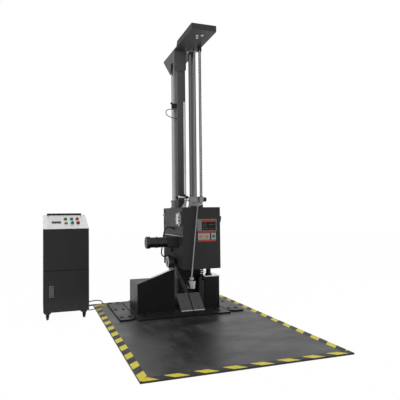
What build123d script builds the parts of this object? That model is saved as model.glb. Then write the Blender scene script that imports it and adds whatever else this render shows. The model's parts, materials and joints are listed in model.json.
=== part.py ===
from build123d import *
import os
from math import atan2, cos, degrees, hypot, pi, radians, sin, tan

os.makedirs("parts", exist_ok=True)

# Single wing drop tester, millimetres. The origin is the middle of the impact plate's underside,
# the front is towards -Y and up is +Z.

# Impact plate and the bolted bed
plate_width, plate_length, plate_thick = 1250.0, 2000.0, 10.0
plate_edge_break = 2.0
bed_thick = 12.0
bed_left, bed_right, bed_front, bed_back = -371.0, 383.0, 219.0, 988.0
flange_gap = 8.0
flange_width = 126.0
flange_front = 264.0
flange_corner = 40.0
bolt_row_y = (360.0, 656.0, 959.0)
bolt_edge, bolt_pitch = 27.0, 65.0
bed_bolt_inset, bed_bolt_y = 75.0, (304.0, 368.0)
bolt_head_radius, bolt_head_height, bolt_radius = 13.0, 4.0, 8.0
bolt_socket_radius, bolt_socket_depth, bolt_hole_play = 6.5, 3.0, 0.5

# Welded base blocks
block_front = 441.0
left_block_x0, left_block_x1, left_block_height = -336.0, -24.0, 232.0
left_block_back = 762.0
gusset_thick, gusset_rise = 10.0, 110.0
right_block_x0, right_block_x1, right_block_height = 246.0, 375.0, 262.0
block_wall = 8.0
cap_thick, cap_overhang = 8.0, 3.0
pedestal_x0, pedestal_x1, pedestal_front, pedestal_back = 25.0, 228.0, 505.0, 790.0
pedestal_height, pedestal_top = 323.0, 30.0

# Column
post_radius, post_socket = 32.5, 20.0
near_post = (184.0, 549.0)
far_post = (80.0, 735.0)
post_centres = (near_post, far_post)
collar_radius, collar_height, collar_play = 40.0, 16.0, 0.05
mast_centre, mast_side, mast_wall = (97.0, 627.0), 75.0, 5.0
top_underside = 2257.0
top_x0, top_x1, top_front, top_back = 33.0, 240.0, 104.0, 940.0
top_height, top_base, top_wall = 48.0, 8.0, 6.0
top_wall_back, top_wall_slope = 492.0, 24.0
head_drop, head_plate, head_chamfer = 180.0, 6.0, 14.0
head_tip_y, head_tip_drop = 719.0, 183.0
scale_width, scale_thick, scale_drop = 16.0, 2.0, 452.0
scale_offset = 24.0

# Chain
chain_x, chain_y = 220.0, 447.0
chain_pitch, roller_radius, roller_width = 15.875, 5.0, 12.0
chain_plate_thick, chain_plate_width = 2.0, 14.0
chain_foot_depth, chain_head_drop = 30.0, 30.0
anchor_width, anchor_depth, anchor_height = 28.0, 34.0, 42.0
foot_offset, foot_height = 30.0, 262.0

# Carriage
car_x0, car_x1, car_front, car_back = -17.0, 298.0, 215.0, 796.0
car_bottom, car_top, car_wall = 379.5, 871.0, 3.0
bush_radius, bush_play, bush_low, bush_high = 40.0, 0.05, 60.0, 130.0
bush_head, bush_flange_radius, bush_flange = 70.0, 48.0, 10.0
bush_clamp_radius, bush_clamp = 45.0, 16.0
stud_y, stud_z, stud_radius, stud_length = 240.0, 785.0, 15.0, 14.0
duct_y0, duct_y1, duct_z0, duct_z1, duct_depth = 516.0, 590.0, 500.0, 530.0, 14.0
mast_window_play = 12.0
chain_window_x, chain_window_y = 30.0, 30.0

# Lift drive
sprocket_teeth, sprocket_thick = 19, 8.0
sprocket_radius = sprocket_teeth * chain_pitch / (2 * pi)
drive_y, drive_z = chain_y - sprocket_radius, 590.0
drive_shaft_radius, shaft_play = 10.0, 0.05
gearbox_length, gearbox_depth, gearbox_height = 83.0, 136.0, 86.0
motor_radius, motor_length, motor_flange_radius, motor_flange = 42.0, 172.0, 46.0, 10.0
motor_fins, fin_width, fin_depth = 10, 8.0, 3.0
gearbox_offset = 8.0

# Wing
wing_y, wing_z = 430.0, 425.0
arm_x0, arm_x1 = -42.0, -30.0
hub_radius, arm_width, arm_reach = 34.0, 36.0, 60.0
pad_back, pad_front = (70.0, 219.0), (-58.0, 112.0)
pad_x0, pad_seam, pad_x1, pad_gap, pad_thick = -123.0, -32.0, 57.0, 8.0, 10.0
pad_groove_back, pad_groove_width, pad_groove_depth = 16.0, 3.0, 2.0
pad_hole_radius, pad_hole_back = 4.0, 34.0
drum_radius, drum_length, wing_shaft_radius, wing_bearing = 48.0, 46.0, 12.0, 30.0
wing_flange_radius, arm_play = 30.0, 0.5

# Carriage front, side door and gauge
panel_x0, panel_x1, panel_z0, panel_z1, panel_proud = 100.0, 265.0, 678.0, 777.0, 6.0
display_side, display_margin, display_depth = 38.0, 8.0, 3.0
door_y0, door_y1, door_z0, door_z1 = 236.0, 744.0, 716.0, 868.0
door_gap, door_thick, door_frame = 0.3, 3.0, 14.0
knuckle_radius, knuckle_length = 4.0, 30.0
latch_y, latch_z, latch_length, latch_width, latch_plate = 284.0, 778.0, 116.0, 66.0, 10.0
handle_length, handle_width, handle_boss, handle_thick = 92.0, 22.0, 10.0, 12.0
bar_x0, bar_x1, bar_y, bar_z0, bar_z1, bar_depth = 34.0, 143.0, 190.0, 909.0, 955.0, 30.0
bar_foot_x0, bar_foot_x1, bar_foot_back = 55.0, 139.0, 300.0
knob_radius, knob_length, knob_lobes = 17.0, 24.0, 6
rod_top, rod_bottom, rod_radius = (100.0, 925.0), (32.0, 240.0), 5.0
rod_clevis_gap, rod_pin_radius = 10.0, 4.0
weight_radius, weight_length, rod_collar_radius, rod_collar_length = 33.0, 58.0, 17.0, 18.0

# Console cabinet
cab_gap, cab_width, cab_front, cab_back = 85.0, 342.0, 500.0, 850.0
cab_x1 = -plate_width / 2 - cab_gap
cab_x0 = cab_x1 - cab_width
cab_bottom, cab_top, cab_rear_top, cab_wall = 70.0, 711.0, 823.0, 3.0
cab_door_top, cab_seam, cab_border = 388.0, 3.0, 22.0
cheek_width, console_thick, console_drop, panel_play = 30.0, 4.0, 5.0, 0.1
bar_section = 12.0
console_columns = (cab_x1 - 167.0, cab_x1 - 118.0, cab_x1 - 73.0)
console_rows = (232.0, 130.0)
display_offset, display_row, display_width, display_height = 70.0, 150.0, 72.0, 34.0
unit_z0, unit_z1, unit_depth, unit_half = 380.0, 590.0, 110.0, 60.0
button_radius, button_stem, button_height, button_travel = 11.0, 8.0, 14.0, 4.0
button_depth, stem_play, estop_radius = 22.0, 0.3, 14.0
caster_inset_x, caster_front_y, caster_back_y, caster_trail = 32.0, 550.0, 800.0, 25.0
wheel_radius, wheel_width, axle_radius, fork_wall, fork_play = 25.0, 18.0, 4.0, 3.0, 1.0
vent_rows, vent_pitch, vent_width, vent_height = 8, 16.0, 150.0, 5.0

# Cords
power_radius, signal_radius, sensor_radius, side_radius, switch_radius = 6.5, 3.5, 3.0, 4.0, 2.5

bed_top = plate_thick + bed_thick
pedestal_z = bed_top + pedestal_height
right_top = bed_top + right_block_height
front_y = -plate_length / 2


def box_between(x0, x1, y0, y1, z0, z1, mode=Mode.ADD):
    """A rectangular bar between two corners, extruded from its own base sketch."""
    with BuildSketch(Plane.XY.offset(z0)) as base:
        with Locations(((x0 + x1) / 2, (y0 + y1) / 2)):
            Rectangle(x1 - x0, y1 - y0)
    extrude(base.sketch, amount=z1 - z0, mode=mode)


def side_plane(x):
    """Sketch plane at a given X whose axes are Y and Z."""
    return Plane(origin=(x, 0, 0), x_dir=(0, 1, 0), z_dir=(1, 0, 0))


def front_plane(y):
    """Sketch plane at a given Y whose axes are X and Z and whose normal is -Y."""
    return Plane(origin=(0, y, 0), x_dir=(1, 0, 0), z_dir=(0, -1, 0))


def cord_path(points):
    """Straight runs joined by arcs, each as large as its two runs allow."""
    corners = [Vector(*p) for p in points]
    radii = []
    for before, here, after in zip(corners, corners[1:], corners[2:]):
        turn = (here - before).get_angle(after - here)
        shorter = min((here - before).length, (after - here).length)
        radii.append(0.45 * shorter / tan(radians(turn) / 2))
    return FilletPolyline(*corners, radius=radii), radii


def save(builder, label):
    """Name a finished piece and write it."""
    builder.part.label = label
    export_step(builder.part, f"parts/{label}.step")


# Impact plate
with BuildPart() as impact_plate:
    with BuildSketch():
        Rectangle(plate_width, plate_length)
    extrude(amount=plate_thick)
    chamfer(impact_plate.faces().sort_by(Axis.Z)[-1].edges(), length=plate_edge_break)
    bolt_left = [(bed_left - flange_gap - flange_width + bolt_edge + i * bolt_pitch, y)
                 for i in range(2) for y in bolt_row_y]
    bolt_right = [(bed_right + flange_gap + flange_width - bolt_edge - i * bolt_pitch, y)
                  for i in range(2) for y in bolt_row_y]
    bolt_front = [(x, y) for x in (bed_left + bed_bolt_inset, bed_right - bed_bolt_inset)
                  for y in bed_bolt_y]
    bolt_points = bolt_left + bolt_right + bolt_front
    with BuildSketch(Plane.XY.offset(plate_thick)):
        with Locations(*bolt_points):
            Circle(bolt_radius + bolt_hole_play)
    extrude(amount=-(plate_thick - 2), mode=Mode.SUBTRACT)
save(impact_plate, "impact_plate")

# Bed plate and the two side flanges, with one corner cut back on each
with BuildPart() as base_flanges:
    with BuildSketch(Plane.XY.offset(plate_thick)):
        with Locations(((bed_left + bed_right) / 2, (bed_front + bed_back) / 2)):
            Rectangle(bed_right - bed_left, bed_back - bed_front)
        for outer, inner in ((bed_left - flange_gap - flange_width, bed_left - flange_gap),
                             (bed_right + flange_gap + flange_width, bed_right + flange_gap)):
            cut = flange_corner if outer > inner else -flange_corner
            with BuildLine():
                Polyline((outer, flange_front), (inner + cut, flange_front),
                         (inner, flange_front + flange_corner), (inner, bed_back),
                         (outer, bed_back), close=True)
            make_face()
        with Locations(*bolt_points):
            Circle(bolt_radius + bolt_hole_play, mode=Mode.SUBTRACT)
    extrude(amount=bed_thick)
save(base_flanges, "base_flanges")

with BuildPart() as base_bolts:
    with BuildSketch(Plane.XY.offset(bed_top)):
        with Locations(*bolt_points):
            Circle(bolt_head_radius)
    extrude(amount=bolt_head_height)
    with BuildSketch(Plane.XY.offset(bed_top + bolt_head_height)):
        with Locations(*bolt_points):
            RegularPolygon(bolt_socket_radius, 6)
    extrude(amount=-bolt_socket_depth, mode=Mode.SUBTRACT)
    with BuildSketch(Plane.XY.offset(bed_top)):
        with Locations(*bolt_points):
            RegularPolygon(bolt_radius, 8)
    extrude(amount=-(bed_thick + plate_thick - 3))
save(base_bolts, "base_bolts")

# Left block: a hollow welded box behind a front plate that rises to the slot
with BuildPart() as left_block:
    with BuildSketch(Plane.XY.offset(bed_top)):
        with Locations(((left_block_x0 + left_block_x1) / 2, (block_front + left_block_back) / 2)):
            Rectangle(left_block_x1 - left_block_x0, left_block_back - block_front)
    extrude(amount=left_block_height)
    offset(amount=-block_wall, openings=left_block.faces().sort_by(Axis.Z)[0])
    with BuildSketch(front_plane(block_front + gusset_thick)):
        with BuildLine():
            Polyline((left_block_x0, bed_top), (left_block_x1, bed_top),
                     (left_block_x1, bed_top + left_block_height + gusset_rise),
                     (left_block_x0, bed_top + left_block_height), close=True)
        make_face()
    extrude(amount=gusset_thick)
save(left_block, "left_block")

with BuildPart() as right_block:
    with BuildSketch(Plane.XY.offset(bed_top)):
        with Locations(((right_block_x0 + right_block_x1) / 2, (block_front + bed_back) / 2)):
            Rectangle(right_block_x1 - right_block_x0, bed_back - block_front)
    extrude(amount=right_block_height)
    offset(amount=-block_wall, openings=right_block.faces().sort_by(Axis.Z)[0])
save(right_block, "right_block")

with BuildPart() as block_cap:
    box_between(right_block_x0 - cap_overhang, right_block_x1 + cap_overhang,
                block_front - cap_overhang, bed_back, right_top, right_top + cap_thick)
    chamfer(block_cap.faces().sort_by(Axis.Z)[-1].edges(), length=plate_edge_break)
save(block_cap, "block_cap")

# Rubber stop under the carriage
stop_x, stop_y = right_block_x0 + 42, block_front + 32
stop_top = car_bottom - 0.3
with BuildPart() as bump_stop:
    with BuildSketch(Plane.XZ):
        with BuildLine():
            Polyline((0, right_top + cap_thick), (28, right_top + cap_thick),
                     (28, right_top + cap_thick + 12), (20, right_top + cap_thick + 18),
                     (20, stop_top - 6), (14, stop_top), (0, stop_top), close=True)
        make_face()
    revolve(axis=Axis.Z)
bump_stop.part.position = (stop_x, stop_y, 0)
save(bump_stop, "bump_stop")

# Pedestal that carries the mast and the two guide posts
with BuildPart() as rear_pedestal:
    box_between(pedestal_x0, pedestal_x1, pedestal_front, pedestal_back, bed_top, pedestal_z)
    box_between(pedestal_x0 + block_wall, pedestal_x1 - block_wall, pedestal_front + block_wall,
                pedestal_back - block_wall, bed_top, pedestal_z - pedestal_top, Mode.SUBTRACT)
    with BuildSketch(Plane.XY.offset(pedestal_z)):
        with Locations(*post_centres):
            Circle(post_radius + collar_play)
    extrude(amount=-post_socket, mode=Mode.SUBTRACT)
save(rear_pedestal, "rear_pedestal")

# Guide posts, with a chamfer at both ends
for label, centre in (("near_guide_post", near_post), ("far_guide_post", far_post)):
    with BuildPart() as guide_post:
        with BuildSketch(Plane.XY.offset(pedestal_z - post_socket)):
            with Locations(centre):
                Circle(post_radius)
        extrude(amount=top_underside - pedestal_z + post_socket)
        chamfer(guide_post.edges().filter_by(GeomType.CIRCLE), length=1.5)
    save(guide_post, label)

with BuildPart() as post_collars:
    for level in (pedestal_z, top_underside - collar_height):
        with BuildSketch(Plane.XY.offset(level)):
            with Locations(*post_centres):
                Circle(collar_radius)
                Circle(post_radius + collar_play, mode=Mode.SUBTRACT)
        extrude(amount=collar_height)
save(post_collars, "post_collars")

mast_x0, mast_x1 = mast_centre[0] - mast_side / 2, mast_centre[0] + mast_side / 2
mast_y0, mast_y1 = mast_centre[1] - mast_side / 2, mast_centre[1] + mast_side / 2
with BuildPart() as mast:
    with BuildSketch(Plane.XY.offset(pedestal_z)):
        with Locations(mast_centre):
            RectangleRounded(mast_side, mast_side, mast_wall)
            Rectangle(mast_side - 2 * mast_wall, mast_side - 2 * mast_wall, mode=Mode.SUBTRACT)
    extrude(amount=top_underside - pedestal_z)
save(mast, "mast")

# Mast head: front plate, right cheek and a long left cheek with a slanted back edge
head_x0, head_x1 = top_x0, mast_x1 + head_plate
head_front = mast_y0 - head_plate
with BuildPart() as mast_head:
    with BuildSketch(front_plane(mast_y0)):
        with BuildLine():
            Polyline((head_x0, top_underside), (head_x1, top_underside),
                     (head_x1, top_underside - head_drop + head_chamfer),
                     (head_x1 - head_chamfer, top_underside - head_drop),
                     (head_x0, top_underside - head_drop), close=True)
        make_face()
    extrude(amount=head_plate)
    with BuildSketch(side_plane(head_x0)):
        with BuildLine():
            Polyline((head_front, top_underside), (head_front, top_underside - head_drop),
                     (mast_y0 + 8, top_underside - head_drop),
                     (mast_y0 + 50, top_underside - head_drop / 2),
                     (head_tip_y - 22, top_underside - head_drop / 2),
                     (head_tip_y - 8, top_underside - head_tip_drop),
                     (head_tip_y, top_underside - head_tip_drop),
                     (top_back, top_underside), close=True)
        make_face()
    extrude(amount=head_plate)
    box_between(mast_x1, head_x1, head_front, mast_y1, top_underside - head_drop + head_chamfer,
                top_underside)
save(mast_head, "mast_head")

# Top plate: a folded tray, open upwards
with BuildPart() as top_plate:
    with BuildSketch(side_plane(top_x0)):
        with BuildLine():
            Polyline((top_front, top_underside), (top_back, top_underside),
                     (top_back, top_underside + top_base),
                     (top_wall_back + top_wall_slope, top_underside + top_base),
                     (top_wall_back, top_underside + top_height),
                     (top_front, top_underside + top_height), close=True)
        make_face()
    extrude(amount=top_x1 - top_x0)
    box_between(top_x0 + top_wall, top_x1 - top_wall, top_front + top_wall, top_back,
                top_underside + top_base, top_underside + top_height, Mode.SUBTRACT)
    fillet(top_plate.edges().filter_by(Axis.Z).group_by(Axis.Y)[0], radius=top_wall / 2)
save(top_plate, "top_plate")

with BuildPart() as height_scale:
    box_between(mast_centre[0] + scale_offset - scale_width / 2,
                mast_centre[0] + scale_offset + scale_width / 2,
                mast_y0 - scale_thick, mast_y0, pedestal_z + collar_height,
                top_underside - scale_drop)
save(height_scale, "height_scale")

# Lift chain: a roller every pitch between two side plates, and its two anchors
foot_top = bed_top + foot_height
chain_bottom = foot_top - chain_foot_depth
chain_top = top_underside - chain_head_drop
first_roller = drive_z - chain_pitch * int((drive_z - chain_bottom - 8) / chain_pitch)
roller_count = int((chain_top - 8 - first_roller) / chain_pitch) + 1
with BuildPart() as lift_chain:
    for side in (-1, 1):
        with BuildSketch(side_plane(chain_x + side * (roller_width / 2 + chain_plate_thick / 2))):
            with Locations((chain_y, (chain_bottom + chain_top) / 2)):
                Rectangle(chain_plate_width, chain_top - chain_bottom)
        extrude(amount=chain_plate_thick / 2, both=True)
    with BuildSketch(side_plane(chain_x)):
        with Locations(*[(chain_y, first_roller + i * chain_pitch) for i in range(roller_count)]):
            RegularPolygon(roller_radius, 6)
    extrude(amount=roller_width / 2, both=True)
save(lift_chain, "lift_chain")

with BuildPart() as chain_anchors:
    chain_width = roller_width + 2 * chain_plate_thick
    box_between(chain_x - foot_offset, chain_x + anchor_width / 2, chain_y - anchor_depth / 2,
                chain_y + anchor_depth / 2, bed_top, foot_top)
    box_between(chain_x - anchor_width / 2, chain_x + anchor_width / 2 - 2,
                chain_y - anchor_depth / 2, chain_y + anchor_depth / 2,
                top_underside - anchor_height, top_underside)
    for low, high in ((chain_bottom, foot_top), (top_underside - anchor_height, chain_top)):
        box_between(chain_x - chain_width / 2 - 0.3, chain_x + chain_width / 2 + 0.3,
                    chain_y - anchor_depth / 2, chain_y + anchor_depth / 2, low, high,
                    Mode.SUBTRACT)
save(chain_anchors, "chain_anchors")

# Upper limit switch on the left face of the mast, with its roller lever and cable
switch_drop, switch_height, switch_y0, switch_y1 = 505.0, 38.0, 606.0, 640.0
switch_z0 = top_underside - switch_drop
switch_z1 = switch_z0 + switch_height
switch_x0 = mast_x0 - 42
with BuildPart() as limit_switch:
    box_between(switch_x0, mast_x0, switch_y0, switch_y1, switch_z0, switch_z1)
    fillet(limit_switch.edges().filter_by(Axis.Y), radius=4)
    with BuildSketch(front_plane(switch_y0)):
        with BuildLine():
            Polyline((switch_x0 + 12, switch_z0 + 22), (switch_x0 + 20, switch_z0 + 30),
                     (switch_x0 - 6, switch_z0 + 40), (switch_x0 - 14, switch_z0 + 32), close=True)
        make_face()
    extrude(amount=4)
    with BuildSketch(front_plane(switch_y0)):
        with Locations((switch_x0 - 10, switch_z0 + 36)):
            Circle(8)
    extrude(amount=12)
save(limit_switch, "limit_switch")

switch_cable_points = [
    (switch_x0 + 12, 623, switch_z0), (switch_x0 + 12, 623, switch_z0 - 14),
    (switch_x0 - 6, 619, switch_z0 - 26), (switch_x0 - 30, 616, switch_z0 - 34),
    (switch_x0 - 48, 614, switch_z0 - 52), (switch_x0 - 46, 614, switch_z0 - 76),
    (switch_x0 - 24, 616, switch_z0 - 92), (switch_x0 + 2, 620, switch_z0 - 96),
    (switch_x0 + 22, 624, switch_z0 - 90), (mast_x0, 624, switch_z0 - 90)]
with BuildPart() as switch_cable:
    with BuildLine():
        switch_path, switch_radii = cord_path(switch_cable_points)
    with BuildSketch(Plane(origin=switch_path @ 0, z_dir=switch_path % 0)):
        Circle(switch_radius)
    sweep()
save(switch_cable, "switch_cable")

# Carriage body: a welded sheet box, open in front, with a door opening in its left wall
with BuildPart() as carriage_body:
    box_between(car_x0, car_x1, car_front + car_wall, car_back, car_bottom, car_top)
    box_between(car_x0 + car_wall, car_x1 - car_wall, car_front + car_wall, car_back - car_wall,
                car_bottom + car_wall, car_top - car_wall, Mode.SUBTRACT)
    with BuildSketch(Plane.XY.offset(car_bottom)):
        with Locations(*post_centres):
            Circle(bush_radius)
        with Locations(mast_centre):
            Rectangle(mast_side + 2 * mast_window_play, mast_side + 2 * mast_window_play)
        with Locations((chain_x, chain_y)):
            Rectangle(chain_window_x, chain_window_y)
    extrude(amount=car_top - car_bottom, mode=Mode.SUBTRACT)
    with BuildSketch(side_plane(car_x0)):
        with Locations(((door_y0 + door_y1) / 2, (door_z0 + door_z1) / 2)):
            Rectangle(door_y1 - door_y0 - 2 * door_frame, door_z1 - door_z0 - 2 * door_frame)
        with Locations((drive_y, drive_z)):
            Circle(drive_shaft_radius + 2)
    extrude(amount=car_wall, mode=Mode.SUBTRACT)
    with BuildSketch(side_plane(arm_x1 + arm_play)):
        with Locations((wing_y, wing_z)):
            Circle(wing_flange_radius)
    extrude(amount=car_x0 + wing_bearing - arm_x1 - arm_play)
    with BuildSketch(side_plane(arm_x1 + arm_play)):
        with Locations((wing_y, wing_z)):
            Circle(wing_shaft_radius + shaft_play)
    extrude(amount=car_x0 + wing_bearing - arm_x1 - arm_play, mode=Mode.SUBTRACT)
    with BuildSketch(side_plane(car_x1)):
        with Locations((drive_y, drive_z)):
            Circle(26)
    extrude(amount=-20)
    with BuildSketch(side_plane(car_x1)):
        with Locations((drive_y, drive_z)):
            Circle(drive_shaft_radius + shaft_play)
    extrude(amount=-20, mode=Mode.SUBTRACT)
    with BuildSketch(side_plane(car_x1)):
        with Locations((stud_y, stud_z)):
            Circle(stud_radius)
    extrude(amount=stud_length)
    chamfer(carriage_body.faces().sort_by(Axis.X)[-1].edges(), length=plate_edge_break)
    box_between(car_x0 - duct_depth, car_x0, duct_y0, duct_y1, duct_z0, duct_z1)
save(carriage_body, "carriage_body")

with BuildPart() as front_cover:
    box_between(car_x0, car_x1, car_front, car_front + car_wall, car_bottom, car_top)
    fillet(front_cover.edges().filter_by(Axis.Z).group_by(Axis.Y)[0], radius=2.5)
    with BuildSketch(front_plane(car_front)):
        with Locations(((panel_x0 + panel_x1) / 2, (panel_z0 + panel_z1) / 2)):
            Rectangle(panel_x1 - panel_x0 - 20, panel_z1 - panel_z0 - 20)
    extrude(amount=-car_wall, mode=Mode.SUBTRACT)
save(front_cover, "front_cover")

with BuildPart() as control_panel:
    box_between(panel_x0, panel_x1, car_front - panel_proud, car_front, panel_z0, panel_z1)
    chamfer(control_panel.faces().sort_by(Axis.Y)[0].edges(), length=2)
    with BuildSketch(front_plane(car_front - panel_proud)):
        with Locations(((panel_x0 + display_side + panel_x1 - display_margin) / 2,
                        (panel_z0 + panel_z1) / 2)):
            Rectangle(panel_x1 - panel_x0 - display_side - display_margin,
                      panel_z1 - panel_z0 - 2 * display_margin)
    extrude(amount=-display_depth, mode=Mode.SUBTRACT)
save(control_panel, "control_panel")

with BuildPart() as panel_display:
    box_between(panel_x0 + display_side, panel_x1 - display_margin,
                car_front - panel_proud + 1, car_front - panel_proud + display_depth,
                panel_z0 + display_margin, panel_z1 - display_margin)
save(panel_display, "panel_display")

# Linear bushes on both posts, low in the carriage and through its top
with BuildPart() as guide_bushes:
    for low, high in ((car_bottom, car_bottom + bush_low),
                      (car_top - bush_high + bush_head, car_top + bush_head)):
        with BuildSketch(Plane.XY.offset(low)):
            with Locations(*post_centres):
                Circle(bush_radius)
        extrude(amount=high - low)
    for level in (car_bottom + car_wall, car_top):
        with BuildSketch(Plane.XY.offset(level)):
            with Locations(*post_centres):
                Circle(bush_flange_radius)
        extrude(amount=bush_flange)
    with BuildSketch(Plane.XY.offset(car_top + bush_head - bush_clamp)):
        with Locations(*post_centres):
            Circle(bush_clamp_radius)
    extrude(amount=bush_clamp)
    with BuildSketch(Plane.XY.offset(car_bottom)):
        with Locations(*post_centres):
            Circle(post_radius + bush_play)
    extrude(amount=car_top + bush_head - car_bottom, mode=Mode.SUBTRACT)
    with BuildSketch(Plane.XY.offset(car_bottom)):
        with Locations(mast_centre):
            Rectangle(mast_side + 2 * 4, mast_side + 2 * 4)
    extrude(amount=car_top + bush_head - car_bottom, mode=Mode.SUBTRACT)
save(guide_bushes, "guide_bushes")

# Lift motor, finned, on a gearbox bolted to the left wall
gearbox_x0 = car_x0 - gearbox_length
with BuildPart() as gearbox:
    with BuildSketch(side_plane(gearbox_x0)):
        with Locations((drive_y + gearbox_offset, drive_z)):
            RectangleRounded(gearbox_depth, gearbox_height, 14)
    extrude(amount=gearbox_length)
    with BuildSketch(side_plane(gearbox_x0)):
        with Locations((drive_y, drive_z)):
            Circle(drive_shaft_radius + shaft_play)
    extrude(amount=gearbox_length, mode=Mode.SUBTRACT)
    with BuildSketch(side_plane(gearbox_x0)):
        with Locations((drive_y, drive_z)):
            Circle(drive_shaft_radius + 6)
    extrude(amount=gearbox_length - 45, mode=Mode.SUBTRACT)
save(gearbox, "gearbox")

motor_x1 = gearbox_x0
with BuildPart() as motor:
    with BuildSketch(side_plane(motor_x1)):
        with Locations((drive_y, drive_z)):
            Circle(motor_flange_radius)
    extrude(amount=-motor_flange)
    with BuildSketch(side_plane(motor_x1 - motor_flange)):
        with Locations((drive_y, drive_z)):
            Circle(motor_radius)
    extrude(amount=-(motor_length - motor_flange))
    for i in range(motor_fins):
        fin_x = motor_x1 - motor_flange - fin_width * (1.5 * i + 1)
        with BuildSketch(side_plane(fin_x)):
            with Locations((drive_y, drive_z)):
                Circle(motor_radius + 1)
                Circle(motor_radius - fin_depth, mode=Mode.SUBTRACT)
        extrude(amount=-fin_width / 2, mode=Mode.SUBTRACT)
    chamfer(motor.faces().sort_by(Axis.X)[0].edges(), length=6)
save(motor, "motor")

# Drive shaft and sprocket; a tooth gap faces the roller at the shaft's height
root_radius, tip_radius = sprocket_radius - roller_radius - 1, sprocket_radius + 3.5
tooth_angle = 360 / sprocket_teeth
with BuildPart() as drive_sprocket:
    with BuildSketch(side_plane(chain_x - sprocket_thick / 2)):
        with Locations((drive_y, drive_z)):
            Circle(root_radius)
            with PolarLocations(0, sprocket_teeth, start_angle=tooth_angle / 2):
                Polygon((root_radius - 3, -3.0), (sprocket_radius, -2.1), (tip_radius, -0.9),
                        (tip_radius, 0.9), (sprocket_radius, 2.1), (root_radius - 3, 3.0),
                        align=None)
    extrude(amount=sprocket_thick)
    with BuildSketch(side_plane(chain_x - sprocket_thick / 2 - 14)):
        with Locations((drive_y, drive_z)):
            Circle(20)
    extrude(amount=14)
    with BuildSketch(side_plane(gearbox_x0 + gearbox_length - 44)):
        with Locations((drive_y, drive_z)):
            Circle(drive_shaft_radius)
    extrude(amount=car_x1 - gearbox_x0 - gearbox_length + 44 - 4)
save(drive_sprocket, "drive_sprocket")

# Wing: hub and arm plate, a carrier under the pads, the two pads and the spring drum
pad_tilt = degrees(atan2(pad_back[1] - pad_front[1], pad_back[0] - pad_front[0]))
pad_length = hypot(pad_back[0] - pad_front[0], pad_back[1] - pad_front[1])
pad_dir = ((pad_back[0] - pad_front[0]) / pad_length, (pad_back[1] - pad_front[1]) / pad_length)
pad_plane = Plane(origin=(pad_seam, pad_front[0], pad_front[1]), x_dir=(1, 0, 0),
                  z_dir=(0, -pad_dir[1], pad_dir[0]))
carrier_thick, carrier_length, carrier_inset = 8.0, 120.0, 16.0
arm_end = (pad_back[0] - pad_dir[0] * arm_reach, pad_back[1] - pad_dir[1] * arm_reach)
arm_under = (arm_end[0] + pad_dir[1] * arm_width * 0.6, arm_end[1] - pad_dir[0] * arm_width * 0.6)
arm_angle = atan2(wing_z - pad_back[1], wing_y - pad_back[0])
arm_lift = (-sin(arm_angle) * arm_width / 2, cos(arm_angle) * arm_width / 2)
with BuildPart() as wing_arm:
    with BuildSketch(side_plane(arm_x0)):
        with Locations((wing_y, wing_z)):
            Circle(hub_radius)
        with BuildLine():
            Polyline((wing_y + arm_lift[0], wing_z + arm_lift[1]),
                     (pad_back[0] + arm_width + arm_lift[0], pad_back[1] + arm_width / 2
                      + arm_lift[1]),
                     (pad_back[0] - pad_dir[1] * 0.3 + 0.3, pad_back[1] + pad_dir[0] * 0.3 - 0.6),
                     arm_end, arm_under,
                     (pad_back[0] + arm_width * 0.7 - arm_lift[0],
                      pad_back[1] + arm_width * 0.1 - arm_lift[1]),
                     (wing_y - arm_lift[0], wing_z - arm_lift[1]), close=True)
        make_face()
        with Locations((wing_y, wing_z)):
            Circle(wing_shaft_radius, mode=Mode.SUBTRACT)
    extrude(amount=arm_x1 - arm_x0)
    with BuildSketch(pad_plane.offset(-carrier_thick)):
        with Locations(((pad_x0 + pad_x1) / 2 - pad_seam, pad_length - carrier_length / 2)):
            Rectangle(pad_x1 - pad_x0 - 2 * carrier_inset, carrier_length - 2 * carrier_inset)
    extrude(amount=carrier_thick)
save(wing_arm, "wing_arm")

with BuildPart() as wing_pads:
    with BuildSketch(pad_plane):
        for x0, x1 in ((pad_x0, pad_seam - pad_gap / 2), (pad_seam + pad_gap / 2, pad_x1)):
            with Locations(((x0 + x1) / 2 - pad_seam, pad_length / 2)):
                Rectangle(x1 - x0, pad_length)
            with Locations(((x0 + x1) / 2 - pad_seam, pad_hole_back)):
                Circle(pad_hole_radius, mode=Mode.SUBTRACT)
    extrude(amount=pad_thick)
    with BuildSketch(pad_plane.offset(pad_thick)):
        with Locations(((pad_x0 + pad_x1) / 2 - pad_seam, pad_groove_back)):
            Rectangle(pad_x1 - pad_x0 + 2, pad_groove_width)
    extrude(amount=-pad_groove_depth, mode=Mode.SUBTRACT)
save(wing_pads, "wing_pads")

with BuildPart() as spring_drum:
    with BuildSketch(side_plane(arm_x0)):
        with Locations((wing_y, wing_z)):
            Circle(drum_radius)
    extrude(amount=-drum_length)
    fillet(spring_drum.faces().sort_by(Axis.X)[0].edges(), radius=8)
    with BuildSketch(side_plane(arm_x0 - drum_length)):
        with Locations((wing_y, wing_z)):
            Circle(drum_radius * 0.5)
    extrude(amount=3, mode=Mode.SUBTRACT)
    with BuildSketch(side_plane(arm_x0)):
        with Locations((wing_y, wing_z)):
            Circle(wing_shaft_radius)
    extrude(amount=car_x0 + wing_bearing - 4 - arm_x0)
save(spring_drum, "spring_drum")

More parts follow.
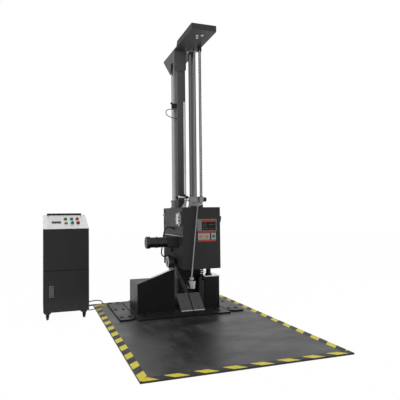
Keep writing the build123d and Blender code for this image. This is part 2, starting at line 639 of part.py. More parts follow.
# Side door with two hinge knuckles, and its swing latch
door_x1 = car_x0 - door_gap
door_x0 = door_x1 - door_thick
hinge_x, hinge_y = door_x0 - knuckle_radius + 1, door_y1 + knuckle_radius
with BuildPart() as side_door:
    box_between(door_x0, door_x1, door_y0, door_y1, door_z0, door_z1)
    fillet(side_door.edges().filter_by(Axis.X), radius=4)
    for level in (door_z0 + 14, door_z1 - 14 - knuckle_length):
        with BuildSketch(Plane.XY.offset(level)):
            with Locations((hinge_x, hinge_y)):
                Circle(knuckle_radius)
            with BuildLine():
                Polyline((hinge_x, hinge_y - knuckle_radius), (hinge_x + 2, hinge_y),
                         (door_x1 - 1, door_y1 - 6), (door_x0, door_y1 - 10), close=True)
            make_face()
        extrude(amount=knuckle_length)
    with BuildSketch(side_plane(door_x0)):
        with Locations((latch_y, latch_z)):
            SlotOverall(latch_length, latch_width, rotation=90)
    extrude(amount=-latch_plate)
save(side_door, "side_door")

latch_x = door_x0 - latch_plate - door_gap
with BuildPart() as door_latch:
    with BuildSketch(side_plane(latch_x)):
        with Locations((latch_y, latch_z)):
            Circle(handle_width * 0.8)
    extrude(amount=-handle_boss)
    with BuildSketch(side_plane(latch_x - handle_boss)):
        with Locations((latch_y, latch_z)):
            SlotOverall(handle_length, handle_width, rotation=90)
    extrude(amount=-handle_thick)
    chamfer(door_latch.faces().sort_by(Axis.X)[0].edges(), length=3)
save(door_latch, "door_latch")

# Crossbar on a foot over the carriage top, its clamp knob and the hanging gauge rod
with BuildPart() as crossbar:
    box_between(bar_x0, bar_x1, bar_y - bar_depth / 2, bar_y + bar_depth / 2, bar_z0, bar_z1)
    fillet(crossbar.edges().filter_by(Axis.X), radius=4)
    with BuildSketch(side_plane(bar_foot_x0)):
        with BuildLine():
            Polyline((bar_y, bar_z0), (bar_y, bar_z0 + 12), (bar_foot_back - 20, bar_z0 + 12),
                     (bar_foot_back, car_top + 8), (bar_foot_back, car_top),
                     (car_front + 20, car_top), (car_front + 8, bar_z0), close=True)
        make_face()
    extrude(amount=bar_foot_x1 - bar_foot_x0)
    box_between(rod_top[0] - 9, rod_top[0] + 9, bar_y - bar_depth / 2 - 1, bar_y + rod_clevis_gap,
                bar_z0 - 1, bar_z1 + 1, Mode.SUBTRACT)
    with BuildSketch(front_plane(bar_y + bar_depth / 2)):
        with Locations(rod_top):
            Circle(rod_pin_radius + shaft_play)
    extrude(amount=bar_depth, mode=Mode.SUBTRACT)
save(crossbar, "crossbar")

with BuildPart() as crossbar_knob:
    with BuildSketch(side_plane(bar_x1 + 0.3)):
        with Locations((bar_y, (bar_z0 + bar_z1) / 2)):
            Circle(knob_radius)
            with PolarLocations(knob_radius + 2, knob_lobes):
                Circle(5, mode=Mode.SUBTRACT)
    extrude(amount=knob_length)
save(crossbar_knob, "crossbar_knob")

rod_length = hypot(rod_top[0] - rod_bottom[0], rod_top[1] - rod_bottom[1])
rod_axis = Plane(origin=(rod_top[0], bar_y - 3, rod_top[1]),
                 x_dir=(0, 1, 0),
                 z_dir=(rod_bottom[0] - rod_top[0], 0, rod_bottom[1] - rod_top[1]))
with BuildPart() as gauge_rod:
    for start, length, radius in ((-8, rod_length + 8 - weight_length, rod_radius),
                                  (-8, 16, rod_radius + 2),
                                  (rod_length - weight_length - 26, rod_collar_length,
                                   rod_collar_radius),
                                  (rod_length - weight_length - 8, 8, rod_radius + 4),
                                  (rod_length - weight_length, weight_length, weight_radius)):
        with BuildSketch(rod_axis.offset(start)):
            Circle(radius)
        extrude(amount=length)
    with BuildSketch(front_plane(bar_y + bar_depth / 2)):
        with Locations(rod_top):
            Circle(rod_pin_radius)
    extrude(amount=bar_depth / 2 + 3)
save(gauge_rod, "gauge_rod")

# Cable on the carriage's left wall, from a gland above the gearbox to one behind the drum
side_cable_points = [
    (car_x0, 470, 690), (-38, 470, 690), (-50, 498, 698), (-56, 548, 692), (-58, 600, 664),
    (-58, 638, 618), (-58, 652, 566), (-60, 664, 518), (-62, 668, 482), (-56, 650, 462),
    (-38, 628, 456), (car_x0, 628, 456)]
with BuildPart() as side_cable:
    with BuildLine():
        side_path, side_radii = cord_path(side_cable_points)
    with BuildSketch(Plane(origin=side_path @ 0, z_dir=side_path % 0)):
        Circle(side_radius)
    sweep()
save(side_cable, "side_cable")

# Console cabinet: shell with a fixed upper front, open where the door sits and on top
slope = atan2(cab_rear_top - cab_top, cab_back - cab_front)
with BuildPart() as cabinet_shell:
    box_between(cab_x0, cab_x1, cab_front, cab_back, cab_bottom, cab_top)
    box_between(cab_x0 + cab_wall, cab_x1 - cab_wall, cab_front + cab_wall, cab_back - cab_wall,
                cab_bottom + cab_wall, cab_top, Mode.SUBTRACT)
    box_between(cab_x0 + cab_wall, cab_x1 - cab_wall, cab_front, cab_front + cab_wall,
                cab_bottom + cab_wall, cab_door_top + cab_seam, Mode.SUBTRACT)
    box_between(cab_x0, cab_x1, cab_back - cab_wall, cab_back, cab_top, cab_rear_top - 12)
    with BuildSketch(front_plane(cab_back)):
        with Locations(((cab_x0 + cab_x1) / 2, 260)):
            with GridLocations(0, vent_pitch, 1, vent_rows):
                Rectangle(vent_width, vent_height)
    extrude(amount=cab_wall, mode=Mode.SUBTRACT)
save(cabinet_shell, "cabinet_shell")

with BuildPart() as console_cheeks:
    for x0 in (cab_x0, cab_x1 - cheek_width):
        with BuildSketch(side_plane(x0)):
            with BuildLine():
                Polyline((cab_front, cab_top), (cab_back - cab_wall, cab_top),
                         (cab_back - cab_wall, cab_rear_top), (cab_back - 24, cab_rear_top),
                         (cab_front, cab_top + console_drop), close=True)
            make_face()
        extrude(amount=cheek_width)
save(console_cheeks, "console_cheeks")

bar_front = cab_back - cab_wall - bar_section
panel_run = (bar_front - console_thick * sin(slope) - panel_play - cab_front) / cos(slope)
console_plane = Plane(origin=((cab_x0 + cab_x1) / 2, cab_front,
                              cab_top + console_thick / cos(slope)), x_dir=(1, 0, 0),
                      z_dir=(0, -sin(slope), cos(slope)))
console_mid = (cab_x0 + cab_x1) / 2
console_width = cab_x1 - cab_x0 - 2 * cheek_width
button_spots = {
    "start_button": (console_columns[0], console_rows[0]),
    "reset_button": (console_columns[1], console_rows[0]),
    "stop_button": (console_columns[2], console_rows[0]),
    "drop_button": (console_columns[0], console_rows[1]),
    "mode_selector": (console_columns[1], console_rows[1]),
    "emergency_stop": (console_columns[2], console_rows[1])}
with BuildPart() as console_panel:
    with BuildSketch(console_plane):
        with Locations((0, panel_run / 2)):
            Rectangle(console_width, panel_run)
        with Locations(*[(x - console_mid, row) for x, row in button_spots.values()]):
            Circle(button_stem + stem_play, mode=Mode.SUBTRACT)
    extrude(amount=-console_thick)
save(console_panel, "console_panel")

with BuildPart() as console_display:
    with BuildSketch(console_plane):
        with Locations((-display_offset, display_row)):
            Rectangle(display_width, display_height)
    extrude(amount=5)
    chamfer(console_display.faces().sort_by(Axis.Z)[-1].edges(), length=1.5)
save(console_display, "console_display")

with BuildPart() as console_bar:
    box_between(cab_x0 + cheek_width, cab_x1 - cheek_width, bar_front, cab_back - cab_wall,
                cab_rear_top - 14, cab_rear_top + 2)
save(console_bar, "console_bar")

for label, (x, row) in button_spots.items():
    cap_radius = estop_radius if label == "emergency_stop" else button_radius
    with BuildPart() as button:
        with BuildSketch(console_plane.offset(-button_depth)):
            with Locations((x - console_mid, row)):
                Circle(button_stem)
        extrude(amount=button_depth + button_travel + 1)
        with BuildSketch(console_plane.offset(button_travel + 1)):
            with Locations((x - console_mid, row)):
                Circle(cap_radius)
        extrude(amount=button_height - button_travel - 1)
        if label == "mode_selector":
            with BuildSketch(console_plane.offset(button_height)):
                with Locations((x - console_mid, row)):
                    SlotOverall(2 * button_radius - 2, 7, rotation=90)
            extrude(amount=8)
    save(button, label)

# Door with its recessed pull; the hinge line is at the right edge
cab_door_x0, cab_door_x1 = cab_x0 + cab_wall + door_gap, cab_x1 - cab_wall - door_gap
pull_inset, pull_width, pull_z0, pull_z1 = 47.0, 24.0, 190.0, 271.0
pull_x0 = cab_x0 + pull_inset
pull_x1 = pull_x0 + pull_width
with BuildPart() as cabinet_door:
    box_between(cab_door_x0, cab_door_x1, cab_front, cab_front + cab_wall,
                cab_bottom + cab_wall + door_gap, cab_door_top)
    box_between(pull_x0, pull_x1, cab_front, cab_front + cab_wall, pull_z0, pull_z1, Mode.SUBTRACT)
save(cabinet_door, "cabinet_door")

with BuildPart() as door_pull:
    box_between(pull_x0 - 3, pull_x1 + 3, cab_front - 1.5, cab_front, pull_z0 - 3, pull_z1 + 3)
    box_between(pull_x0, pull_x1, cab_front, cab_front + 14, pull_z0, pull_z1)
    box_between(pull_x0 + 2, pull_x1 - 2, cab_front - 1.5, cab_front + 12, pull_z0 + 2,
                pull_z1 - 2, Mode.SUBTRACT)
save(door_pull, "door_pull")

with BuildPart() as motor_drive:
    box_between(console_mid - unit_half, console_mid + unit_half,
                cab_back - cab_wall - unit_depth, cab_back - cab_wall, unit_z0, unit_z1)
    fillet(motor_drive.edges().filter_by(Axis.Z), radius=6)
    for i in range(6):
        box_between(console_mid - 54 + i * 20, console_mid - 48 + i * 20,
                    cab_back - cab_wall - 100, cab_back - cab_wall - 40, unit_z1 - 6, unit_z1,
                    Mode.SUBTRACT)
save(motor_drive, "motor_drive")

# Casters: a swivelling fork at each front corner, a fixed fork at each back corner
caster_x = (cab_x0 + caster_inset_x, cab_x1 - caster_inset_x)


def caster_fork(x, y, trail):
    """Top plate, two slanted legs and the axle of one caster."""
    axle_y = y + trail
    inner = wheel_width / 2 + fork_play
    with BuildSketch(Plane.XY.offset(cab_bottom - fork_wall)) as top:
        with Locations((x, y)):
            Rectangle(2 * (inner + fork_wall), 36)
    extrude(top.sketch, amount=fork_wall)
    for side in (-1, 1):
        with BuildSketch(side_plane(x + side * inner)) as leg:
            with BuildLine():
                Polyline((y - 16, cab_bottom - fork_wall), (y + 18, cab_bottom - fork_wall),
                         (axle_y + 8, wheel_radius), (axle_y + 4, wheel_radius - 7),
                         (axle_y - 4, wheel_radius - 7), close=True)
            make_face()
        extrude(leg.sketch, amount=side * fork_wall)
    with BuildSketch(side_plane(x)) as axle:
        with Locations((axle_y, wheel_radius)):
            Circle(axle_radius)
    extrude(axle.sketch, amount=inner, both=True)


fork_labels = ("front_left_fork", "front_right_fork")
for label, x in zip(fork_labels, caster_x):
    with BuildPart() as fork:
        caster_fork(x, caster_front_y, caster_trail)
    save(fork, label)

with BuildPart() as rear_caster_forks:
    for x in caster_x:
        caster_fork(x, caster_back_y, 0)
save(rear_caster_forks, "rear_caster_forks")

wheel_spots = {
    "front_left_wheel": (caster_x[0], caster_front_y + caster_trail),
    "front_right_wheel": (caster_x[1], caster_front_y + caster_trail),
    "rear_left_wheel": (caster_x[0], caster_back_y),
    "rear_right_wheel": (caster_x[1], caster_back_y)}
for label, (x, y) in wheel_spots.items():
    with BuildPart() as wheel:
        with BuildSketch(side_plane(x)):
            with Locations((y, wheel_radius)):
                Circle(wheel_radius)
                Circle(axle_radius + shaft_play, mode=Mode.SUBTRACT)
        extrude(amount=wheel_width / 2, both=True)
        chamfer(wheel.edges().filter_by(GeomType.CIRCLE).sort_by(SortBy.RADIUS)[-2:], length=2)
    save(wheel, label)

# Cords between the cabinet and the machine: straight runs joined by arcs
cord_routes = {
    "signal_cable": (signal_radius, [
        (-820, cab_back, 120), (-820, 886, 120), (-818, 924, 92), (-808, 964, 50),
        (-790, 1008, 16), (-762, 1058, 3.7), (-722, 1112, 3.7), (-680, 1160, 3.7),
        (-636, 1202, 3.7), (-590, 1232, 3.7), (-552, 1234, 3.7), (-529, 1202, 3.7),
        (-525, 1156, 3.7), (-531, 1110, 3.7), (-533, 1066, 3.7), (-512, 1036, 3.7),
        (-470, 1030, 3.7), (-424, 1034, 3.7), (-376, 1030, 3.7), (-330, 1036, 3.7),
        (-290, 1034, 12), (-264, 1020, 34), (-250, 994, 60), (-246, 960, 86),
        (-247, 918, 102), (-247, 876, 110), (-246, 836, 112), (-246, 798, 111),
        (-246, left_block_back, 110)]),
    "power_cable": (power_radius, [
        (-770, cab_back, 110), (-770, 886, 110), (-766, 920, 94), (-752, 950, 60),
        (-722, 978, 24), (-674, 1000, 6.8), (-612, 1014, 6.8), (-544, 1012, 6.8),
        (-476, 1015, 6.8), (-410, 1012, 6.8), (-352, 1014, 7), (-302, 1016, 10),
        (-262, 1008, 26), (-236, 984, 54), (-218, 950, 86), (-209, 912, 116),
        (-205, 872, 136), (-206, 832, 147), (-206, 796, 150), (-206, left_block_back, 150)]),
    "sensor_cable": (sensor_radius, [
        (cab_x1, 758, 96), (-697, 758, 96), (-690, 764, 80), (-688, 774, 56), (-686, 784, 30),
        (-684, 796, 10), (-678, 808, 3.4), (-666, 820, 3.4), (-650, 830, 3.6), (-636, 836, 5),
        (-plate_width / 2, 838, 5)])}
for label, (radius, points) in cord_routes.items():
    with BuildPart() as cord:
        with BuildLine():
            path, radii = cord_path(points)
        with BuildSketch(Plane(origin=path @ 0, z_dir=path % 0)):
            Circle(radius)
        sweep()
    print(label, "length", round(path.length), "volume ratio",
          round(cord.part.volume / (pi * radius ** 2 * path.length), 4),
          "radii", [round(r) for r in radii])
    save(cord, label)

for label, radii in (("side_cable", side_radii), ("switch_cable", switch_radii)):
    print(label, "radii", [round(r) for r in radii])
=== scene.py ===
import json
import math
import bpy
import numpy as np
from mathutils import Matrix, Vector


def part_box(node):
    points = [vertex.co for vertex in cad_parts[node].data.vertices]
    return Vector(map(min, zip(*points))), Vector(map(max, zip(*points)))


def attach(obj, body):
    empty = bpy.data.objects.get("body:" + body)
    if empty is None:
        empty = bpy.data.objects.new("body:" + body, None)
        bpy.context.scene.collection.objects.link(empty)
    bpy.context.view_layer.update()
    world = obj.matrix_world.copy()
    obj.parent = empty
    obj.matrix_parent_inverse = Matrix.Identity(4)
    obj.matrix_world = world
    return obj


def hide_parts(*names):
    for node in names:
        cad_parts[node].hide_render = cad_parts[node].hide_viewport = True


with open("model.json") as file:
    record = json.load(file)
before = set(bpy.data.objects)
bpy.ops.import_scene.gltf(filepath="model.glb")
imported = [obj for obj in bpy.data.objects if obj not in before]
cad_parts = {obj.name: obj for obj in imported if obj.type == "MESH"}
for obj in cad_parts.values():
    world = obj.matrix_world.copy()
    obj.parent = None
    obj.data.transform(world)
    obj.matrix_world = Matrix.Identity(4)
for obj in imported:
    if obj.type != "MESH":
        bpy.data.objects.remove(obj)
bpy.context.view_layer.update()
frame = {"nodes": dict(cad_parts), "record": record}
nodes = frame["nodes"]
scene = bpy.context.scene
print("frame loaded:", len(nodes), "nodes")

# The camera stands at the left front of the machine, a little below the carriage's top
cameraSet = {
    "place": (-1.083, -3.1669, 0.8162),
    "up": (-0.0005, -0.033, 0.9995),
    "forward": (0.3366, 0.9411, 0.0312),
    "lens": 40.53,
    "sensor": 36.0,
    "clipEnd": 60.0,
}


def placeCamera(own):
    data = bpy.data.cameras.new("photoCamera")
    data.lens = own["lens"]
    data.sensor_width = own["sensor"]
    data.clip_end = own["clipEnd"]
    eye = bpy.data.objects.new("photoCamera", data)
    scene.collection.objects.link(eye)
    forward = Vector(own["forward"]).normalized()
    right = forward.cross(Vector(own["up"])).normalized()
    up = right.cross(forward)
    turn = Matrix((right, up, -forward)).transposed()
    eye.matrix_world = Matrix.Translation(own["place"]) @ turn.to_4x4()
    scene.camera = eye


placeCamera(cameraSet)
scene.view_settings.view_transform = "Standard"
print("camera placed")


# Nodes: small makers that take numbers, colours or sockets alike
def feed(tree, socket, value):
    # a number or colour is set on the socket, one number on a colour socket is a grey, a socket is linked
    isColour = socket.type == "RGBA"
    if isinstance(value, (int, float)):
        socket.default_value = (value, value, value, 1.0) if isColour else value
    elif isinstance(value, (tuple, list)):
        socket.default_value = (*value, 1.0) if isColour else value
    else:
        tree.links.new(value, socket)


def mathNode(tree, operation, first, second=None):
    node = tree.nodes.new("ShaderNodeMath")
    node.operation = operation
    feed(tree, node.inputs[0], first)
    if second is not None:
        feed(tree, node.inputs[1], second)
    return node.outputs[0]


def noiseNode(tree, vector, scale, detail=3.0, roughness=0.55):
    node = tree.nodes.new("ShaderNodeTexNoise")
    for label, value in (("Vector", vector), ("Scale", scale), ("Detail", detail), ("Roughness", roughness)):
        feed(tree, node.inputs[label], value)
    return node.outputs["Fac"]


def stretched(tree, vector, stretch):
    node = tree.nodes.new("ShaderNodeVectorMath")
    node.operation = "MULTIPLY"
    feed(tree, node.inputs[0], vector)
    feed(tree, node.inputs[1], stretch)
    return node.outputs[0]


def mapped(tree, value, fromLow, fromHigh, toLow, toHigh):
    node = tree.nodes.new("ShaderNodeMapRange")
    labels = ("Value", "From Min", "From Max", "To Min", "To Max")
    for label, number in zip(labels, (value, fromLow, fromHigh, toLow, toHigh)):
        feed(tree, node.inputs[label], number)
    return node.outputs["Result"]


def mixColours(tree, factor, first, second):
    node = tree.nodes.new("ShaderNodeMix")
    node.data_type = "RGBA"
    for place, value in ((0, factor), (6, first), (7, second)):
        feed(tree, node.inputs[place], value)
    return node.outputs[2]


def splitAxes(tree, vector):
    node = tree.nodes.new("ShaderNodeSeparateXYZ")
    tree.links.new(vector, node.inputs[0])
    return node.outputs["X"], node.outputs["Y"], node.outputs["Z"]


# Shared effects, as node groups
def startGroup(name, inputs, outputs):
    # an input with a number is a float, any other a vector; all outputs are floats
    group = bpy.data.node_groups.new(name, "ShaderNodeTree")
    for label, value in inputs.items():
        kind = "NodeSocketFloat" if isinstance(value, float) else "NodeSocketVector"
        socket = group.interface.new_socket(name=label, in_out="INPUT", socket_type=kind)
        if value is not None:
            socket.default_value = value
    for label in outputs:
        group.interface.new_socket(name=label, in_out="OUTPUT", socket_type="NodeSocketFloat")
    start, end = group.nodes.new("NodeGroupInput"), group.nodes.new("NodeGroupOutput")
    return group, start.outputs, end.inputs


def buildCoatGrain():
    # orange-peel of a powder coat: fine noise for height, broad noise for tone
    inputs = {"Vector": None, "Grain Scale": 600.0, "Tone Scale": 3.0}
    group, start, end = startGroup("coatGrain", inputs, ("Height", "Tone"))
    fine = noiseNode(group, start["Vector"], start["Grain Scale"], 2.0)
    broad = noiseNode(group, start["Vector"], start["Tone Scale"], 4.0)
    group.links.new(fine, end["Height"])
    group.links.new(mapped(group, broad, 0.3, 0.7, 0.0, 1.0), end["Tone"])
    return group


def buildBrushLines():
    # long thin streaks: noise on coordinates squeezed along the brushing direction
    inputs = {"Vector": None, "Stretch": (1.0, 1.0, 1.0), "Scale": 300.0}
    group, start, end = startGroup("brushLines", inputs, ("Line", "Patch"))
    squeezed = stretched(group, start["Vector"], start["Stretch"])
    group.links.new(noiseNode(group, squeezed, start["Scale"], 3.0, 0.7), end["Line"])
    patch = noiseNode(group, start["Vector"], 9.0, 3.0)
    group.links.new(mapped(group, patch, 0.35, 0.65, 0.0, 1.0), end["Patch"])
    return group


def buildHandMarks():
    # smears left by hands and cloths: two noises multiplied, kept only at their peaks
    inputs = {"Vector": None, "Scale": 8.0, "Amount": 0.5}
    group, start, end = startGroup("handMarks", inputs, ("Smear",))
    wide = noiseNode(group, start["Vector"], start["Scale"], 4.0, 0.6)
    crossed = noiseNode(group, stretched(group, start["Vector"], (3.0, 0.7, 1.6)), start["Scale"], 5.0, 0.7)
    peak = mapped(group, mathNode(group, "MULTIPLY", wide, crossed), 0.2, 0.42, 0.0, 1.0)
    group.links.new(mathNode(group, "MULTIPLY", peak, start["Amount"]), end["Smear"])
    return group


def buildFloorDust():
    # pale dust that thins from the floor up to the top, broken up by noise
    inputs = {"Vector": None, "Top": 0.3, "Amount": 0.4}
    group, start, end = startGroup("floorDust", inputs, ("Dust",))
    low = mapped(group, splitAxes(group, start["Vector"])[2], 0.0, start["Top"], 1.0, 0.0)
    speck = mapped(group, noiseNode(group, start["Vector"], 40.0, 5.0, 0.7), 0.35, 0.75, 0.0, 1.0)
    both = mathNode(group, "MULTIPLY", low, speck)
    group.links.new(mathNode(group, "MULTIPLY", both, start["Amount"]), end["Dust"])
    return group


# Each effect, and which number of a finish's dictionary goes to which of its sockets
effects = (
    (buildCoatGrain(), {"Grain Scale": "grain", "Tone Scale": "tone"}),
    (buildBrushLines(), {"Stretch": "stretch", "Scale": "scale"}),
    (buildHandMarks(), {"Scale": "marks", "Amount": "amount"}),
    (buildFloorDust(), {"Top": "dustTop", "Amount": "dust"}),
)


def startFinish(name, own):
    # a material with the effects that the dictionary has numbers for, and their outputs by name
    material = bpy.data.materials.new(name)
    material.use_nodes = True
    tree = material.node_tree
    coords = tree.nodes.new("ShaderNodeTexCoord").outputs["Object"]
    look = {}
    for group, labels in effects:
        if set(labels.values()) <= set(own):
            node = tree.nodes.new("ShaderNodeGroup")
            node.node_tree = group
            tree.links.new(coords, node.inputs["Vector"])
            for label, key in labels.items():
                node.inputs[label].default_value = own[key]
            look.update(node.outputs.items())
    return material, tree, coords, look


def joinLooks(material, colour, rough, mask, share):
    # the colour, and as roughness the base plus the mask's share
    tree = material.node_tree
    inputs = tree.nodes["Principled BSDF"].inputs
    tree.links.new(colour, inputs["Base Color"])
    tree.links.new(mathNode(tree, "ADD", rough, mathNode(tree, "MULTIPLY", mask, share)), inputs["Roughness"])
    return tree, inputs


def dressed(material, colour, rough, mask, height, own):
    # the looks, a bump of its strength and distance, and the shader's constants that the dictionary has
    tree, inputs = joinLooks(material, colour, rough, mask, own["smear"])
    node = tree.nodes.new("ShaderNodeBump")
    node.inputs["Strength"].default_value, node.inputs["Distance"].default_value = own["bump"]
    tree.links.new(height, node.inputs["Height"])
    tree.links.new(node.outputs["Normal"], inputs["Normal"])
    for label, key in (("Specular IOR Level", "specular"), ("Metallic", "metallic"), ("Coat Weight", "coat")):
        if key in own:
            inputs[label].default_value = own[key]
    return material


# Finishes: powder coat, bare metal and moulded plastic; each takes two tones that an effect blends, the roughness
# from low to high, and changes to the numbers of its kind
# upper and pale give a painted lighter top: its colour and the heights over which it fades in
coatSet = {
    "grain": 700.0, "tone": 2.6, "marks": 7.0, "amount": 0.35, "smear": 0.18, "dust": 0.0, "dustTop": 0.35,
    "dusty": (0.42, 0.41, 0.39), "upper": None, "pale": (0.9, 2.0), "bump": (0.12, 0.0004), "specular": 0.5,
}
metalSet = {
    "stretch": (1.0, 1.0, 40.0), "scale": 60.0, "marks": 14.0, "amount": 0.4, "smear": 0.15, "bump": (0.08, 0.0002),
    "metallic": 1.0,
}
mouldedSet = {
    "grain": 900.0, "tone": 18.0, "marks": 30.0, "amount": 0.4, "smear": 0.12, "bump": (0.06, 0.0003), "coat": 0.0,
    "specular": 0.5,
}


def coatedFinish(name, colour, worn, rough, **changes):
    own = {**coatSet, **changes}
    material, tree, coords, look = startFinish(name, own)
    toned = mixColours(tree, look["Tone"], colour, worn)
    if own["upper"]:
        # painted light: the coat is painted paler with height, as the light that falls on the upper mast
        share = mapped(tree, splitAxes(tree, coords)[2], *own["pale"], 0.0, 1.0)
        toned = mixColours(tree, share, toned, own["upper"])
    toned = mixColours(tree, look["Dust"], toned, own["dusty"])
    return dressed(material, toned, mapped(tree, look["Tone"], 0.0, 1.0, *rough), look["Smear"], look["Height"], own)


def metalFinish(name, colour, worn, rough, **changes):
    own = {**metalSet, **changes}
    material, tree, coords, look = startFinish(name, own)
    toned = mixColours(tree, mathNode(tree, "MULTIPLY", look["Line"], look["Patch"]), colour, worn)
    return dressed(material, toned, mapped(tree, look["Line"], 0.3, 0.7, *rough), look["Smear"], look["Line"], own)


def mouldedFinish(name, colour, worn, rough, **changes):
    own = {**mouldedSet, **changes}
    material, tree, coords, look = startFinish(name, own)
    toned = mixColours(tree, look["Tone"], colour, worn)
    return dressed(material, toned, mapped(tree, look["Tone"], 0.0, 1.0, *rough), look["Smear"], look["Height"], own)


plateLook = {
    "stretch": (1.0, 1.9, 1.0), "scale": 2.3, "marks": 3.5, "amount": 0.8, "smear": 0.14, "grain": 420.0, "tone": 1.4,
    "dark": (0.012, 0.012, 0.013), "pale": (0.034, 0.034, 0.035), "smeared": 0.07, "rough": (0.3, 0.46),
    "specular": 0.31, "bump": (0.1, 0.0004),
}
padLook = {
    "stretch": (1.0, 0.06, 0.06), "scale": 420.0, "marks": 16.0, "amount": 0.6, "smear": -0.12, "dark": 0.03,
    "pale": 0.26, "smeared": 0.11, "lip": 0.75, "lipAt": (0.1225, 0.1265), "rough": (0.3, 0.46),
    "bump": (0.12, 0.0002), "metallic": 1.0,
}


def plateFinish(own):
    # rolled floor plate: broad rubbed streaks across its width over a fine grain
    material, tree, coords, look = startFinish("rolledPlate", own)
    toned = mixColours(tree, look["Line"], own["dark"], own["pale"])
    toned = mixColours(tree, look["Smear"], toned, own["smeared"])
    base = mapped(tree, look["Line"], 0.3, 0.7, *own["rough"])
    return dressed(material, toned, base, look["Smear"], look["Height"], own)


def padFinish(own):
    # wing pads: ground steel with streaks down their slope, and a bright rubbed lip along the low front edge
    material, tree, coords, look = startFinish("groundPad", own)
    lip = mapped(tree, splitAxes(tree, coords)[2], *own["lipAt"], 1.0, 0.0)
    toned = mixColours(tree, look["Line"], own["dark"], own["pale"])
    toned = mixColours(tree, lip, mixColours(tree, look["Smear"], toned, own["smeared"]), own["lip"])
    base = mapped(tree, look["Line"], 0.3, 0.7, *own["rough"])
    return dressed(material, toned, base, lip, look["Line"], own)


def partCoated(material, chosen, own):
    # the same coat with another colour and roughness where the chosen mask is one
    tree = material.node_tree
    inputs = tree.nodes["Principled BSDF"].inputs
    mask = chosen(tree, *splitAxes(tree, tree.nodes.new("ShaderNodeTexCoord").outputs["Object"]))
    plain, rough = (inputs[label].links[0].from_socket for label in ("Base Color", "Roughness"))
    joinLooks(material, mixColours(tree, mask, plain, own["colour"]), rough, mask, own["rough"])
    if own["metallic"]:
        tree.links.new(mask, inputs["Metallic"])
    return material


# the left wall below the ledge: a darker colour painted as shade, and a rougher finish
shadedLowWallLook = {"wall": -0.0165, "below": 0.64, "colour": (0.018, 0.018, 0.019), "rough": 0.24, "metallic": False}
latchLook = {"y": 0.284, "half": 0.0335, "raised": -0.0215, "colour": 0.5, "rough": -0.16, "metallic": True}


def shadedWallBelowLedge(tree, x, y, z):
    # the left wall below the ledge, where a darker colour is painted as shade
    onWall = mathNode(tree, "LESS_THAN", x, shadedLowWallLook["wall"])
    return mathNode(tree, "MULTIPLY", onWall, mathNode(tree, "LESS_THAN", z, shadedLowWallLook["below"]))


def onLatchPlate(tree, x, y, z):
    # the raised plate round the latch
    away = mathNode(tree, "ABSOLUTE", mathNode(tree, "SUBTRACT", y, latchLook["y"]))
    near = mathNode(tree, "LESS_THAN", away, latchLook["half"])
    return mathNode(tree, "MULTIPLY", near, mathNode(tree, "LESS_THAN", x, latchLook["raised"]))


polished = {"stretch": (1.0, 1.0, 0.02), "scale": 500.0, "amount": 0.2, "bump": (0.015, 0.0002)}
evenStretch = (1.0, 1.0, 1.0)
finishes = {
    "plate_grey": plateFinish(plateLook),
    "black_coat": coatedFinish("blackCoat", (0.0095, 0.0095, 0.01), (0.016, 0.016, 0.0165), (0.32, 0.44), dust=0.03,
                               specular=0.15),
    "charcoal_coat": coatedFinish("charcoalCoat", (0.02, 0.02, 0.021), (0.03, 0.03, 0.031), (0.42, 0.55),
                                  specular=0.3),
    "black_screw": coatedFinish("blackScrew", 0.003, 0.008, (0.4, 0.5), amount=0.1, specular=0.15),
    "bright_steel": metalFinish("brightSteel", 0.7, 0.36, (0.16, 0.32)),
    "chain_steel": coatedFinish("oiledChain", 0.008, (0.022, 0.021, 0.02), (0.28, 0.42), grain=240.0, specular=0.4),
    "dark_metal": coatedFinish("darkHousing", (0.008, 0.008, 0.0085), (0.02, 0.02, 0.021), (0.22, 0.34),
                               specular=0.55),
    "caster_steel": metalFinish("casterSteel", 0.05, 0.02, (0.35, 0.5), scale=120.0),
    "console_steel": metalFinish("consoleSteel", (0.86, 0.86, 0.87), (0.7, 0.7, 0.71), (0.35, 0.5),
                                 stretch=(0.04, 1.0, 1.0), scale=420.0),
    "post_chrome": metalFinish("postChrome", 0.9, 0.8, (0.05, 0.11), **polished),
    "latch_chrome": metalFinish("latchChrome", 0.85, 0.6, (0.08, 0.18), scale=90.0, bump=(0.02, 0.0002)),
    "black_rubber": mouldedFinish("blackRubber", 0.008, 0.022, (0.6, 0.8)),
    "black_cord": mouldedFinish("blackJacket", 0.005, 0.012, (0.5, 0.62), specular=0.15),
    "grey_cord": mouldedFinish("greyJacket", 0.03, 0.05, (0.45, 0.6)),
    "dark_plastic": mouldedFinish("darkPlastic", (0.008, 0.008, 0.009), (0.018, 0.018, 0.019), (0.35, 0.5),
                                  specular=0.25),
    "light_plastic": mouldedFinish("lightPlastic", 0.15, 0.2, (0.35, 0.5)),
    "display_gloss": mouldedFinish("displayWindow", (0.005, 0.005, 0.006), (0.008, 0.008, 0.009), (0.2, 0.3),
                                   bump=(0.0, 0.0003), specular=0.2),
    "green_plastic": mouldedFinish("greenButton", (0.02, 0.3, 0.16), (0.04, 0.36, 0.2), (0.2, 0.3), coat=0.4),
    "red_plastic": mouldedFinish("redButton", (0.42, 0.015, 0.02), (0.52, 0.03, 0.035), (0.25, 0.35), coat=0.2),
    "yellow_plastic": mouldedFinish("yellowButton", (0.7, 0.42, 0.03), (0.78, 0.5, 0.06), (0.25, 0.35), coat=0.2),
    "teal_plastic": mouldedFinish("tealKnob", (0.01, 0.25, 0.21), (0.03, 0.31, 0.27), (0.25, 0.35), coat=0.2),
    "cabinet_coat": coatedFinish("cabinetCoat", (0.0135, 0.0138, 0.015), (0.021, 0.0214, 0.023), (0.42, 0.52),
                                 dust=0.08, dustTop=0.2, specular=0.3),
    "pale_coat": coatedFinish("paleCoat", 0.42, 0.5, (0.35, 0.5)),
}
wallCoat = coatedFinish("carriageCoat", (0.022, 0.022, 0.023), (0.032, 0.032, 0.033), (0.42, 0.55), specular=0.3)
doorCoat = coatedFinish("doorCoat", (0.03, 0.03, 0.031), (0.04, 0.04, 0.042), (0.4, 0.52), specular=0.35)
